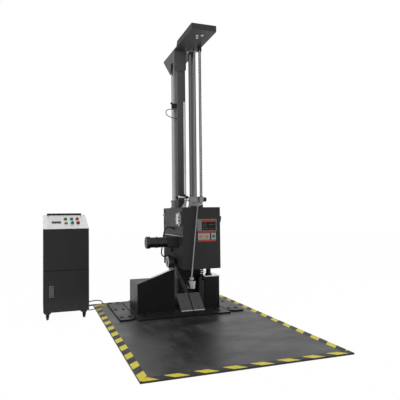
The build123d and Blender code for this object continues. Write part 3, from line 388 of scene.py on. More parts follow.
# the mast is painted paler towards the top, as painted light
mastCoat = coatedFinish("mastCoat", (0.046, 0.046, 0.047), (0.06, 0.06, 0.061), (0.45, 0.58), specular=0.35,
                        upper=(0.105, 0.105, 0.106))
topCoat = coatedFinish("topCoat", (0.034, 0.034, 0.035), (0.046, 0.046, 0.047), (0.45, 0.58), specular=0.35)
# the carriage coat, with painted shade on the left wall below the ledge
carriageCoat = partCoated(wallCoat, shadedWallBelowLedge, shadedLowWallLook)
# the near post and bushes: the post chrome painted darker, as painted shade for the dark things the near post reflects
shadedPostChrome = metalFinish("shadedPostChrome", 0.31, 0.26, (0.07, 0.14), **{**polished, "amount": 0.25, "bump": (0.02, 0.0002)})
ownFinish = {
    "carriage_body": carriageCoat, "front_cover": carriageCoat, "mast": mastCoat, "mast_head": mastCoat,
    "near_guide_post": shadedPostChrome, "guide_bushes": shadedPostChrome, "top_plate": topCoat, "wing_pads": padFinish(padLook),
    "side_door": partCoated(doorCoat, onLatchPlate, latchLook),
    "far_guide_post": metalFinish("farChrome", 0.8, 0.66, (0.06, 0.12), **polished),
    "console_cheeks": coatedFinish("cheekCoat", (0.66, 0.66, 0.67), (0.74, 0.74, 0.75), (0.3, 0.42)),
    "crossbar": metalFinish("crossbarSteel", 0.3, 0.16, (0.26, 0.42), stretch=evenStretch, scale=70.0),
    "spring_drum": coatedFinish("drumCoat", (0.03, 0.03, 0.031), (0.06, 0.06, 0.061), (0.3, 0.42)),
    "gauge_rod": metalFinish("rodSteel", 0.4, 0.22, (0.2, 0.34)),
}
slotOf = {part["node"]: part["material_slot"] for part in frame["record"]["subparts"]}
for label, thing in nodes.items():
    thing.data.materials.clear()
    thing.data.materials.append(ownFinish.get(label) or finishes[slotOf[label]])
print("finishes built:", len(finishes))


# Surfaces: a part is its points and faces, drawn with its depth along its own axis and then placed
surfaceSet = {"sharp": math.radians(34), "barEdge": 0.2, "barSides": 16}
# Directions of a part's depth
frontward = {"across": (1, 0, 0), "up": (0, 0, 1)}
leftward = {"across": (0, -1, 0), "up": (0, 0, 1)}
rightward = {"across": (0, 1, 0), "up": (0, 0, 1)}
upward = {"across": (1, 0, 0), "up": (0, 1, 0)}
downward = {"across": (1, 0, 0), "up": (0, -1, 0)}
# How far a trim stands off the face or the wall that it lies on
faceGap, wallGap = 0.0001, 0.0002


def addSurface(name, points, faces, material, body, slot, smooth=True):
    mesh = bpy.data.meshes.new(name)
    mesh.from_pydata(points.tolist(), [], faces)
    mesh.update()
    mesh.polygons.foreach_set("use_smooth", np.full(len(mesh.polygons), smooth))
    if smooth:
        mesh.set_sharp_from_angle(angle=surfaceSet["sharp"])
    mesh.materials.append(material)
    piece = bpy.data.objects.new(name, mesh)
    scene.collection.objects.link(piece)
    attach(piece, body)
    return piece


def addPart(name, part, slot, body, origin=None, axes=frontward, material=None):
    # a part that has an origin is placed first
    part = part if origin is None else placed(part, origin, **axes)
    return addSurface(name, *part, material or finishes[slot], body, slot)


def gridFaces(rows, columns, wrap=False, closed=False):
    # each face joins a row to the next; with wrap the last column meets the first, closed the last row the first
    row, column = np.meshgrid(np.arange(rows if closed else rows - 1), np.arange(columns if wrap else columns - 1),
                              indexing="ij")
    beside, after = (column + 1) % columns, (row + 1) % rows
    corners = (row * columns + column, row * columns + beside, after * columns + beside, after * columns + column)
    return np.stack(corners, -1).reshape(-1, 4).tolist()


def flatGrid(x, y, z):
    # a level strip as a grid of two parameters: x and y each run from a start to an end in a count of points
    u, v = np.meshgrid(np.linspace(*x), np.linspace(*y), indexing="ij")
    return np.stack([u, v, np.full(u.shape, z)], -1).reshape(-1, 3), gridFaces(x[2], y[2])


def layered(outlines, depths):
    # one closed skin through a stack of outlines, each at its own depth, with a flat cap at both ends
    count = len(outlines[0])
    last = (len(outlines) - 1) * count
    points = [np.column_stack([line, np.full(count, depth)]) for line, depth in zip(outlines, depths)]
    caps = [list(range(count))[::-1], list(range(last, last + count))]
    return np.concatenate(points), gridFaces(len(outlines), count, True) + caps


def roundedOutline(width, height, radius, steps=5):
    # a rectangle with round corners: each corner's centre plus the radius times cosine and sine of a quarter turn
    angle = np.linspace(0, math.pi / 2, steps)[None, :] + np.arange(4)[:, None] * math.pi / 2
    centre = np.array([[1, 1], [-1, 1], [-1, -1], [1, -1]]) * (width / 2 - radius, height / 2 - radius)
    return (centre[:, None, :] + radius * np.stack([np.cos(angle), np.sin(angle)], -1)).reshape(-1, 2)


def slab(width, height, radius, depth, edge=0.0004, steps=5):
    # a flat plate whose top edge is broken: the outline twice, then once more drawn in by the edge
    full = roundedOutline(width, height, radius, steps)
    inner = roundedOutline(width - 2 * edge, height - 2 * edge, max(radius - edge, 0.00002), steps)
    return layered([full, full, inner], [0.0, depth - edge, depth])


def turned(profile, sides=24):
    # a profile of radius and depth carried round its axis: x = radius * cos t, y = radius * sin t
    turn = np.linspace(0, 2 * math.pi, sides, endpoint=False)
    circle = np.column_stack([np.cos(turn), np.sin(turn)])
    return layered([circle * radius for radius, depth in profile], [depth for radius, depth in profile])


def ringBand(inner, outer, low, high, sides=40):
    # a closed ring: its four-cornered section carried round the axis, the last corner joined to the first
    turn = np.linspace(0, 2 * math.pi, sides, endpoint=False)[:, None]
    radius = np.array([inner, outer, outer, inner])[None, :]
    depth = np.broadcast_to(np.array([high, high, low, low]), (sides, 4))
    points = np.stack([radius * np.cos(turn), radius * np.sin(turn), depth], -1).reshape(-1, 3)
    return points, gridFaces(sides, 4, True, True)


def copies(part, offsets):
    # the same part again at each offset
    points, faces = part
    offsets = np.asarray(offsets, dtype=float)
    moved = (points[None] + offsets[:, None]).reshape(-1, 3)
    return moved, [[corner + step * len(points) for corner in face] for step in range(len(offsets)) for face in faces]


def joined(*parts):
    starts = np.cumsum([0] + [len(points) for points, faces in parts])
    faces = [[corner + start for corner in face] for start, part in zip(starts, parts) for face in part[1]]
    return np.concatenate([part[0] for part in parts]), faces


def placed(part, origin, across, up):
    # local x, y and z laid along across, up and their cross product, then moved to the origin
    points, faces = part
    first = np.array(across, dtype=float) / np.linalg.norm(across)
    second = np.array(up, dtype=float) / np.linalg.norm(up)
    return np.array(origin) + points @ np.stack([first, second, np.cross(first, second)]), faces


def alongLine(start, end):
    # two directions square to the line, so that a turned part's axis follows it
    line = np.subtract(end, start, dtype=float)
    line /= np.linalg.norm(line)
    across = np.cross(line, (0, 0, 1) if abs(line[2]) < 0.9 else (0, 1, 0))
    across /= np.linalg.norm(across)
    return across, np.cross(line, across)


def bar(start, end, radius):
    # a round bar with broken ends from one point to the other
    length, edge = math.dist(start, end), radius * surfaceSet["barEdge"]
    profile = [(radius - edge, 0), (radius, edge), (radius, length - edge), (radius - edge, length)]
    return placed(turned(profile, surfaceSet["barSides"]), start, *alongLine(start, end))


# Cords: route points in millimetres, along the solids' routes but with the side and switch cables swung out as in
# the photo, and raised on the floor where the line is thicker. Each has a boot at both ends.
cordSet = {"along": 14, "round": 4, "order": 3}
plainCord = {"slot": "black_cord", "body": "machine", "stiffness": "medium", "lay": "loose"}
cords = {
    "signal_cable": {
        **plainCord, "diameter": 0.009, "length": 1.288, "boot": 0.034,
        "route": [(-820, 850, 120), (-820, 886, 120), (-818, 924, 92), (-808, 964, 50), (-790, 1008, 16),
                  (-762, 1058, 4.7), (-722, 1112, 4.7), (-680, 1160, 4.7), (-636, 1202, 4.7), (-590, 1231, 4.7),
                  (-552, 1233, 4.7), (-529, 1202, 4.7), (-525, 1156, 4.7), (-531, 1110, 4.7), (-533, 1066, 4.7),
                  (-512, 1036, 4.7), (-470, 1030, 4.7), (-424, 1034, 4.7), (-376, 1030, 4.7), (-330, 1036, 4.7),
                  (-290, 1034, 12), (-264, 1020, 34), (-250, 994, 60), (-246, 960, 86), (-247, 918, 102),
                  (-247, 876, 110), (-246, 836, 112), (-246, 798, 111), (-246, 762, 110)],
    },
    "power_cable": {
        **plainCord, "diameter": 0.013, "length": 0.944, "boot": 0.046,
        "route": [(-770, 850, 110), (-770, 886, 110), (-766, 920, 94), (-752, 950, 60), (-722, 978, 24),
                  (-674, 1000, 6.8), (-612, 1014, 6.8), (-544, 1012, 6.8), (-476, 1015, 6.8), (-410, 1012, 6.8),
                  (-352, 1014, 7), (-302, 1016, 10), (-262, 1008, 26), (-236, 984, 54), (-218, 950, 86),
                  (-209, 912, 116), (-205, 872, 136), (-206, 832, 147), (-206, 796, 150), (-206, 762, 150)],
    },
    "sensor_cable": {
        **plainCord, "diameter": 0.0075, "length": 0.184, "boot": 0.014, "slot": "grey_cord", "stiffness": "limp",
        "route": [(-710, 758, 96), (-697, 758, 96), (-690, 764, 80), (-688, 774, 56), (-686, 784, 30),
                  (-684, 796, 11), (-678, 808, 4.2), (-666, 820, 4.2), (-650, 830, 4.4), (-636, 836, 5),
                  (-625, 838, 5)],
    },
    "side_cable": {
        **plainCord, "diameter": 0.011, "length": 0.46, "boot": 0.018, "body": "carriage", "lay": "hanging",
        "route": [(-17, 470, 698), (-38, 470, 703), (-52, 498, 711), (-62, 548, 704), (-66, 602, 672),
                  (-64, 642, 620), (-64, 656, 566), (-70, 670, 518), (-74, 676, 474), (-64, 656, 448),
                  (-38, 628, 456), (-17, 628, 456)],
    },
    "switch_cable": {
        **plainCord, "diameter": 0.0065, "length": 0.21, "boot": 0.012, "lay": "hanging",
        "route": [(29.5, 623, 1752), (29.5, 623, 1742), (8, 619, 1740), (-20, 616, 1736), (-39, 614, 1718),
                  (-37, 614, 1692), (-14, 616, 1674), (14, 620, 1668), (39.5, 624, 1664), (59.5, 624, 1662)],
    },
}


def layCord(name, own):
    data = bpy.data.curves.new(name, "CURVE")
    data.dimensions = "3D"
    data.resolution_u = cordSet["along"]
    data.bevel_depth = own["diameter"] / 2
    data.bevel_resolution = cordSet["round"]
    data.use_fill_caps = True
    spline = data.splines.new("NURBS")
    spline.points.add(len(own["route"]) - 1)
    for point, (x, y, z) in zip(spline.points, own["route"]):
        point.co = (x / 1000, y / 1000, z / 1000, 1.0)
    spline.use_endpoint_u = True
    spline.order_u = cordSet["order"]
    cord = bpy.data.objects.new(name + ".line", data)
    scene.collection.objects.link(cord)
    data.materials.append(finishes[own["slot"]])
    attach(cord, own["body"])
    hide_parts(name)
    x, y, z = own["route"][0]


for label, own in cords.items():
    layCord(label, own)
print("cords laid:", len(cords))

# Border tape on the plate
tapeSet = {
    "width": 0.048, "height": 0.0103, "half": 0.625, "reach": 1.0, "inset": 0.002, "steps": (41, 3),
    "yellow": (0.68, 0.58, 0.06), "worn": (0.36, 0.31, 0.08), "dark": (0.035, 0.035, 0.036), "marks": 22.0,
    "amount": 0.35, "smear": 0.0, "grain": 300.0, "tone": 12.0, "rough": (0.45, 0.6), "specular": 0.2,
    "bump": (0.08, 0.0003),
}


def tapeFinish(name, lean, pitch, phase):
    # slanted bars: yellow where the fraction of (lean * x + y - phase) / pitch is under a half
    material, tree, coords, look = startFinish(name, tapeSet)
    x, y, z = splitAxes(tree, coords)
    slant = mathNode(tree, "ADD", mathNode(tree, "MULTIPLY", x, lean), y)
    part = mathNode(tree, "FRACT", mathNode(tree, "DIVIDE", mathNode(tree, "SUBTRACT", slant, phase), pitch))
    yellow = mixColours(tree, look["Smear"], tapeSet["yellow"], tapeSet["worn"])
    barred = mixColours(tree, mathNode(tree, "LESS_THAN", part, 0.5), tapeSet["dark"], yellow)
    base = mapped(tree, look["Tone"], 0.0, 1.0, *tapeSet["rough"])
    return dressed(material, barred, base, look["Smear"], look["Height"], tapeSet)


def layTape(name, x0, x1, y0, y1, material):
    long, short = tapeSet["steps"]
    rows, columns = (long, short) if x1 - x0 > y1 - y0 else (short, long)
    strip = flatGrid((x0, x1, rows), (y0, y1, columns), tapeSet["height"])
    addSurface(name, *strip, material, "machine", "plate_grey", False)


half, reach, wide = tapeSet["half"] - tapeSet["inset"], tapeSet["reach"] - tapeSet["inset"], tapeSet["width"]
layTape("tapeLeft", -half, -half + wide, -reach + wide, reach, tapeFinish("leftTape", -1.0, 0.1695, 0.32))
layTape("tapeRight", half - wide, half, -reach + wide, reach, tapeFinish("rightTape", -1.0, 0.1755, -0.76))
layTape("tapeFront", -half, half, -reach, -reach + wide, tapeFinish("frontTape", 1.0, 0.16, -0.966))
layTape("tapeBack", -half + wide, half - wide, reach - wide, reach, tapeFinish("backTape", 1.0, 0.16, 0.376))
print("border tape laid")

# Roller chain: rollers, pins and two kinds of waisted link plate
chainSet = {
    "x": 0.22, "y": 0.447, "pitch": 0.015875, "first": 0.2725, "rollers": 123, "waist": 0.004,
    "roller": (0.0054, 0.0051, 12), "pin": (0.0026, 0.0116, 8), "sweep": (-42, 222, 9),
    "innerPlate": (0.0052, 0.0076, 0.0067), "outerPlate": (0.0078, 0.0102, 0.0064),
}


def linkOutline(own, radius):
    # two arcs round the pin holes, joined by a narrow waist at the middle
    sweep = np.radians(np.linspace(*own["sweep"]))
    top = np.column_stack([radius * np.cos(sweep), own["pitch"] / 2 + radius * np.sin(sweep)])
    return np.concatenate([[[own["waist"], 0.0]], top, [[-own["waist"], 0.0]], -top])


def addChain(own):
    pitch, count, level = own["pitch"], own["rollers"], own["first"]
    atHeights = lambda heights: np.column_stack([0 * heights, heights, 0 * heights])
    pins = atHeights(level + pitch * np.arange(count))
    links = level + pitch * (np.arange(count + 1) - 0.5)
    parts = []
    for radius, reach, sides in (own["roller"], own["pin"]):
        parts.append(copies(turned([(radius, -reach), (radius, reach)], sides), pins))
    for (near, far, radius), chosen in ((own["innerPlate"], links[1::2]), (own["outerPlate"], links[0::2])):
        outline = linkOutline(own, radius)
        for depths in ([near, far], [-far, -near]):
            parts.append(copies(layered([outline, outline], depths), atHeights(chosen)))
    chain = addPart("rollerChain", joined(*parts), "chain_steel", "machine", (own["x"], own["y"], 0.0), rightward)
    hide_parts("lift_chain")


addChain(chainSet)
print("chain linked:", chainSet["rollers"], "rollers")

# Display: red band, rows of plain digits and keys on the dark window, and marks on the grey strip.
# A group says its digits and their height, then which keys it has at which height.
displaySet = {
    "face": 0.21, "panelFace": 0.209, "left": 0.141, "right": 0.2555, "bandLow": 0.7545, "bandHigh": 0.7675,
    "bandCorner": 0.0012, "digitTall": 0.0082, "digitWide": 0.0044, "digitFrom": 0.151, "digitStep": 0.008,
    "bar": 0.001, "rise": 0.0004, "fine": 0.0001, "keyRise": 0.0006, "keyEdge": 0.0002,
    "leftKeys": (0.151, 0.167, 0.183), "rightKeys": (0.207, 0.223, 0.239), "key": (0.009, 0.0042),
    "groups": (
        ("displayReds", "red_plastic", (("1050", 0.7445), ("0852", 0.7165)), (("rightKeys", 0.7005),)),
        ("displayTeals", "teal_plastic", (("2640", 0.7305),), (("rightKeys", 0.7305), ("leftKeys", 0.7005))),
        ("displayGreys", "dark_plastic", (), (("rightKeys", 0.7445), ("rightKeys", 0.7165))),
    ),
    "stripKeys": (0.1115, 0.1265), "stripRows": (0.76, 0.744, 0.728, 0.712), "stripKey": (0.0075, 0.006),
    "longKey": ((0.119,), 0.6955, 0.019, 0.006),
}
barsOf = {
    "0": (0, 2, 3, 4, 5, 6), "1": (4, 6), "2": (0, 1, 2, 4, 5), "4": (1, 3, 4, 6), "5": (0, 1, 2, 3, 6),
    "6": (0, 1, 2, 3, 5, 6), "8": (0, 1, 2, 3, 4, 5, 6),
}


def digitRow(own, text, z):
    # each digit is up to seven short bars: three level ones and four upright ones round a figure of eight
    tall, wide, thick = own["digitTall"], own["digitWide"], own["bar"]
    level = slab(wide, thick, thick * 0.4, own["rise"], own["fine"], 2)
    upright = slab(thick, tall / 2 - thick * 0.6, thick * 0.4, own["rise"], own["fine"], 2)
    spots = np.array([(0, tall / 2, 0), (0, 0, 0), (0, -tall / 2, 0)]
                     + [(side * wide / 2, height * tall / 4, 0) for height in (1, -1) for side in (-1, 1)])
    parts = []
    for place, digit in enumerate(text):
        corner = (own["digitFrom"] + place * own["digitStep"], z, 0)
        chosen = np.array(barsOf[digit])
        for shape, picked in ((level, chosen[chosen < 3]), (upright, chosen[chosen > 2])):
            if len(picked):
                parts.append(copies(shape, spots[picked] + corner))
    return joined(*parts)


def keyRow(own, places, z, wide, tall):
    return copies(slab(wide, tall, tall * 0.35, own["keyRise"], own["keyEdge"], 4), [(x, z, 0) for x in places])


def addDisplay(own):
    middle, width = (own["left"] + own["right"]) / 2, own["right"] - own["left"]
    low, high = own["bandLow"], own["bandHigh"]
    onWindow = (0.0, own["face"] + faceGap, 0.0)
    band = copies(slab(width, high - low, own["bandCorner"], own["keyRise"], own["keyEdge"]),
                  [(middle, (low + high) / 2, 0)])
    addPart("displayBand", band, "red_plastic", "carriage", onWindow)
    for name, slot, numbers, keys in own["groups"]:
        rows = [digitRow(own, text, z) for text, z in numbers]
        rows += [keyRow(own, own[kind], z, *own["key"]) for kind, z in keys]
        addPart(name, joined(*rows), slot, "carriage", onWindow)
    strip = [keyRow(own, own["stripKeys"], z, *own["stripKey"]) for z in own["stripRows"]]
    strip = joined(*strip, keyRow(own, *own["longKey"]))
    addPart("stripKeys", strip, "pale_coat", "carriage", (0.0, own["panelFace"] + faceGap, 0.0))


addDisplay(displaySet)

# Plain tiles under the panel: two red lines, two wide and one narrow pale tile, a plain disc on each
tileSet = {
    "face": 0.215, "left": 0.105, "right": 0.26, "lineShape": (0.0135, 0.0015, 0.0008), "lines": (0.6705, 0.6035),
    "level": 0.637, "wide": 0.0485, "narrow": 0.04, "tileShape": (0.05, 0.003, 0.0012),
    "places": (0.131, 0.1825, 0.2395), "disc": ((0.0145, 0.0), (0.0145, 0.0016), (0.01334, 0.0022)),
}


def addTiles(own):
    onCover = (0.0, own["face"] + faceGap, 0.0)
    middle, width = (own["left"] + own["right"]) / 2, own["right"] - own["left"]
    lines = copies(slab(width, *own["lineShape"]), [(middle, z, 0) for z in own["lines"]])
    addPart("tileLines", lines, "red_plastic", "carriage", onCover)
    spots = [(x, own["level"], 0) for x in own["places"]]
    wide, narrow = (slab(own[size], *own["tileShape"]) for size in ("wide", "narrow"))
    addPart("paleTiles", joined(copies(wide, spots[:2]), copies(narrow, spots[2:])), "pale_coat", "carriage", onCover)
    amber = mouldedFinish("amberDisc", (0.46, 0.24, 0.015), (0.54, 0.3, 0.03), (0.35, 0.45), specular=0.3)
    teal = mouldedFinish("tealDisc", (0.0, 0.24, 0.17), (0.01, 0.3, 0.22), (0.35, 0.45), specular=0.3)
    disc = turned(own["disc"], 32)
    addPart("amberDiscs", copies(disc, spots[:2]), "yellow_plastic", "carriage", onCover, material=amber)
    addPart("tealDisc", copies(disc, spots[2:]), "teal_plastic", "carriage", onCover, material=teal)


addTiles(tileSet)
print("display and tiles set")

# Side walls: bright ledge and screw on the left one, round cap on the right one
wallSet = {
    "x": -0.017, "ledgeZ": 0.64, "ledgeFrom": 0.222, "ledgeTo": 0.757, "ledge": (0.0055, 0.0012, 0.003, 0.0008, 3),
    "screwAt": (0.765, 0.811), "capAt": (0.2982, 0.247, 0.772),
    "screw": ((0.012, 0.0), (0.012, 0.002), (0.0085, 0.003), (0.0085, 0.012), (0.007, 0.0145), (0.0036, 0.0154)),
    "cap": ((0.029, -0.001), (0.029, 0.005), (0.027, 0.0085), (0.02, 0.011), (0.01, 0.012)),
}


def addWallFittings(own):
    x, start, end = own["x"] + wallGap, own["ledgeFrom"], own["ledgeTo"]
    ledge = slab(end - start, *own["ledge"])
    addPart("wallLedge", ledge, "bright_steel", "carriage", (x, (start + end) / 2, own["ledgeZ"]), leftward)
    addPart("wallScrew", turned(own["screw"], 20), "pale_coat", "carriage", (x, *own["screwAt"]), leftward)
    addPart("rightCap", turned(own["cap"], 32), "dark_plastic", "carriage", own["capAt"], rightward)


# Cable boots; the sensor cable's end on the floor has a shorter and slimmer one
bootSet = {
    "flange": 1.35, "floorFlange": 0.64, "floorShare": 0.5, "wide": 2.1, "narrow": 1.1, "swell": 0.09, "rings": 4,
    "rim": 0.1, "from": 0.12, "steps": 22, "sides": 20,
}


def boot(own, start, following, diameter, length, flange):
    # a tapered sleeve with shallow rings: its radius falls along it and swells a little at each ring
    along = np.linspace(0, 1, own["steps"])
    wide = own["wide"] * flange / own["flange"]
    swell = diameter * own["swell"] * np.sin(along * 2 * math.pi * own["rings"]) ** 2
    radius = diameter / 2 * (wide - (wide - own["narrow"]) * along) + swell
    depth = length * (own["from"] + (1 - own["from"]) * along)
    rim = [(diameter * flange, 0.0), (diameter * flange, length * own["rim"])]
    return placed(turned(rim + list(zip(radius, depth)), own["sides"]), start, *alongLine(start, following))


def addBoots(own):
    for label, cord in cords.items():
        route = np.array(cord["route"]) / 1000.0
        diameter, length, flange = cord["diameter"], cord["boot"], own["flange"]
        slot = "dark_plastic" if cord["slot"] == "black_cord" else "grey_cord"
        first = boot(own, route[0], route[1], diameter, length, flange)
        if label == "sensor_cable":
            length, flange = length * own["floorShare"], own["floorFlange"]
        last = boot(own, route[-1], route[-2], diameter, length, flange)
        addPart(label + ".boots", joined(first, last), slot, cord["body"])


addWallFittings(wallSet)
addBoots(bootSet)
print("wall fittings and cable boots set")

# Latch: ring with two screws on the plate and a domed cap on the handle
latchSet = {
    "y": 0.284, "z": 0.778, "plateFace": -0.0302, "handleFace": -0.0526, "ring": (0.0215, 0.029, 0.0, 0.0028),
    "screws": ((0.0, 0.043, 0.0), (0.0, -0.043, 0.0)), "screw": ((0.0045, 0.0), (0.0045, 0.0012), (0.003, 0.0026)),
    "cap": ((0.0085, 0.0), (0.0085, 0.0018), (0.007, 0.0034), (0.004, 0.0044), (0.001, 0.0047)),
}


def addLatchTrim(own):
    y, z = own["y"], own["z"]
    rim = joined(ringBand(*own["ring"]), copies(turned(own["screw"], 16), own["screws"]))
    addPart("latchRing", rim, "latch_chrome", "access_door", (own["plateFace"], y, z), leftward)
    capAt = (own["handleFace"] + wallGap, y, z)
    addPart("latchCap", turned(own["cap"]), "latch_chrome", "latch_handle", capAt, leftward)


addLatchTrim(latchSet)

# Clamp linkage on the carriage's top, beside the near post
linkageSet = {
    "y": 0.549, "footX": 0.088, "topZ": 0.8708, "legFrom": 0.012, "elbow": (0.134, 0.948), "barZ": 0.962,
    "barFrom": 0.044, "barTo": 0.136, "bar": 0.0085, "headBack": 0.001,
    "foot": ((0.015, 0.0), (0.015, 0.004), (0.01, 0.006), (0.01, 0.014), (0.007, 0.0165)),
    "head": ((0.012, 0.0), (0.0165, 0.0035), (0.0165, 0.019), (0.012, 0.0225)),
    "ear": (0.022, 0.03, 0.008, 0.006, 0.0008), "ears": ((0, 0, 0), (0, 0, -0.014)), "earAt": (-0.004, 0.006),
    "knob": ((0.006, 0.0), (0.006, 0.006), (0.0125, 0.008), (0.0135, 0.012), (0.0135, 0.02), (0.01, 0.0235)),
    "knobsAt": ((0.102, 0.0, 0.002), (0.024, 0.0, -0.002), (0.118, -0.012, 0.0)),
    "clamp": (0.0332, 0.042, 0.9415, 0.964), "clampX": 0.184,
    "rest": (0.03, 0.04, 0.004, 0.028, 0.0015), "restX": 0.252,
}


def addLinkage(own):
    y, level, radius = own["y"], own["barZ"], own["bar"]
    elbowX, elbowZ = own["elbow"]
    foot = placed(turned(own["foot"]), (own["footX"], y, own["topZ"]), **upward)
    leg = bar((own["footX"], y, own["topZ"] + own["legFrom"]), (elbowX, y, elbowZ), radius)
    rail = bar((own["barFrom"], y, level), (own["barTo"], y, level), radius)
    headAt = (own["barFrom"] - own["headBack"], y, level)
    head = placed(turned(own["head"]), headAt, *alongLine((0, 0, 0), (1, 0, 0)))
    shiftX, shiftZ = own["earAt"]
    earsAt = (elbowX + shiftX, y + shiftX, elbowZ + shiftZ)
    ears = placed(copies(slab(*own["ear"]), own["ears"]), earsAt, **frontward)
    addPart("clampLinkage", joined(foot, leg, rail, head, ears), "latch_chrome", "carriage")
    knob = turned(own["knob"], 12)
    grips = []
    for (x, shift, lift), axes in zip(own["knobsAt"], (upward, rightward, frontward)):
        grips.append(placed(knob, (x, y + shift, level + lift), **axes))
    addPart("linkageKnobs", joined(*grips), "dark_plastic", "carriage")
    steel = metalFinish("clampSteel", 0.2, 0.13, (0.28, 0.42), stretch=evenStretch, scale=90.0)
    addPart("postClamp", ringBand(*own["clamp"]), "latch_chrome", "carriage", (own["clampX"], y, 0.0), upward, steel)
    addPart("clampRest", slab(*own["rest"]), "dark_plastic", "carriage", (own["restX"], y, own["topZ"]), upward)


addLinkage(linkageSet)

# Bright bolts under the top plate: a washer and a six-sided head
topBoltSet = {
    "z": 2.2572, "places": ((0.117, 0.217), (0.133, 0.261), (0.154, 0.2)),
    "washer": ((0.012325, 0.0), (0.012325, 0.0018)), "head": ((0.0085, 0.0018), (0.0085, 0.0065), (0.00731, 0.0077)),
}


def addTopBolts(own):
    bolt = joined(turned(own["washer"]), turned(own["head"], 6))
    bolts = copies(bolt, [(x, -y, 0.0) for x, y in own["places"]])
    addPart("topBolts", bolts, "bright_steel", "machine", (0.0, 0.0, own["z"]), downward)


addTopBolts(topBoltSet)

# Height scale: a short line each centimetre and a long one each fifth
scaleSet = {
    "face": 0.5875, "right": 0.1285, "from": 0.37, "to": 1.8, "step": 0.01, "short": 0.006, "long": 0.012,
    "line": (0.001, 0.0003, 2), "rise": 0.0003,
}


def addScale(own):
    heights = np.arange(own["from"], own["to"], own["step"])
    isLong = np.arange(len(heights)) % 5 == 0
    parts = []
    for reach, chosen in ((own["short"], heights[~isLong]), (own["long"], heights[isLong])):
        tick = layered([roundedOutline(reach, *own["line"])] * 2, [0.0, own["rise"]])
        parts.append(copies(tick, [(own["right"] - reach / 2, height, 0.0) for height in chosen]))
    addPart("scaleTicks", joined(*parts), "dark_plastic", "machine", (0.0, own["face"] + faceGap, 0.0))


addScale(scaleSet)
print("linkage, bolts and scale set")

# Console: bezels round the buttons, border lines and screws, the readout's frame, the rear bar's cap and the seams
consoleSet = {
    "slope": math.radians(18.27), "planeAt": 0.5193, "frontFace": 0.5, "middle": -0.881,
    "buttons": ("start_button", "reset_button", "stop_button", "drop_button", "mode_selector", "emergency_stop"),
    "bezel": ((0.0158, 0.0), (0.0158, 0.0016), (0.0142, 0.0034), (0.012, 0.0034)),
    "low": (0.507, 0.714), "high": (0.828, 0.82), "lineHalf": 0.131, "line": 0.003, "lineShape": (0.0004, 0.0005),
    "fine": (0.0001, 2), "lineEnds": (0.006, 0.004), "screwX": 0.124, "screwEnds": (0.014, 0.012),
    "screw": ((0.0034, 0.0), (0.0034, 0.0006), (0.0024, 0.0016)),
    "frame": (0.076, 0.03, 0.002, 0.0018), "frameX": -0.07, "frameAt": (0.6418, 0.763),
    "cap": (0.278, 0.014, 0.003, 0.0095, 0.0015), "capAt": (0.8405, 0.8246),
    "seam": (0.336, 0.0024, 0.0005, 0.0005), "seams": (0.503, 0.392, 0.706),
}


def addConsole(own):
    cosine, sine = math.cos(own["slope"]), math.sin(own["slope"])
    line, half = own["line"], own["lineHalf"]
    axes = {"across": (1, 0, 0), "up": (0, cosine, sine)}
    out = np.array([0.0, -sine, cosine])
    bezel = turned(own["bezel"], 28)
    rings = []
    for label in own["buttons"]:
        low, high = (np.array(corner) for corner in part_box(label))
        centre = (low + high) / 2
        rings.append(placed(bezel, centre + out * (own["planeAt"] - centre @ out), **axes))
    addPart("buttonBezels", joined(*rings), "dark_plastic", "machine")
    origin = out * own["planeAt"] + (own["middle"], 0.0, 0.0)
    onSlope = lambda spot: spot[0] * cosine + spot[1] * sine
    low, high = onSlope(own["low"]), onSlope(own["high"])
    fromLow, fromHigh = own["lineEnds"]
    across = slab(2 * half, line, *own["lineShape"], *own["fine"])
    along = slab(line, high - low - fromLow - fromHigh, *own["lineShape"], *own["fine"])
    lines = joined(copies(across, [(0, low + fromLow, 0), (0, high - fromHigh, 0)]),
                   copies(along, [(-half, (low + high) / 2, 0), (half, (low + high) / 2, 0)]))
    addPart("panelLines", lines, "dark_plastic", "machine", origin, axes)
    fromLow, fromHigh = own["screwEnds"]
    spots = [(side * own["screwX"], y, 0.0) for side in (-1, 1) for y in (low + fromLow, high - fromHigh)]
    addPart("panelScrews", copies(turned(own["screw"], 12), spots), "latch_chrome", "machine", origin, axes)
    rim = copies(slab(*own["frame"]), [(own["frameX"], onSlope(own["frameAt"]), 0.0)])
    addPart("readoutFrame", rim, "dark_plastic", "machine", origin, axes)
    addPart("rearBarCap", slab(*own["cap"]), "dark_plastic", "machine", (own["middle"], *own["capAt"]), upward)
    seams = copies(slab(*own["seam"], *own["fine"]), [(0, z, 0) for z in own["seams"]])
    addPart("cabinetSeams", seams, "dark_plastic", "machine", (own["middle"], own["frontFace"] + faceGap, 0.0))


addConsole(consoleSet)

# Swivel plates of the two front casters
casterSet = {
    "y": 0.566, "places": {"front_left": -1.02, "front_right": -0.742},
    "profile": ((0.015, 0.044), (0.0235, 0.05), (0.027, 0.058), (0.027, 0.069), (0.0255, 0.0697)),
}


def addCasterPlates(own):
    for label, x in own["places"].items():
        plate = turned(own["profile"], 32)
        addPart(label + ".plate", plate, "black_rubber", label + "_swivel", (x, own["y"], 0.0), upward)


addCasterPlates(casterSet)

# Folded top flange of the left block's sloping front plate
flangeSet = {
    "low": (-0.214, 0.297), "high": (-0.026, 0.3634), "from": 0.4415, "deep": 0.046, "shape": (0.003, 0.0028, 0.0006),
}


def addSlopeFlange(own):
    (x0, z0), (x1, z1), deep = own["low"], own["high"], own["deep"]
    flange = slab(math.hypot(x1 - x0, z1 - z0), deep, *own["shape"])
    middle = ((x0 + x1) / 2, own["from"] + deep / 2, (z0 + z1) / 2)
    axes = {"across": (x1 - x0, 0.0, z1 - z0), "up": (0, 1, 0)}
    addPart("slopeFlange", flange, "bright_steel", "machine", middle, axes)


addSlopeFlange(flangeSet)

# Wing: rim, inner ring and six-sided hub on the spring drum
drumSet = {
    "place": (-0.088, 0.43, 0.425), "rim": (0.0385, 0.045, -0.0006, 0.0016), "ring": (0.018, 0.0215, -0.0006, 0.001),
    "hub": ((0.013, -0.0006), (0.013, 0.004), (0.0105, 0.0055)),
}


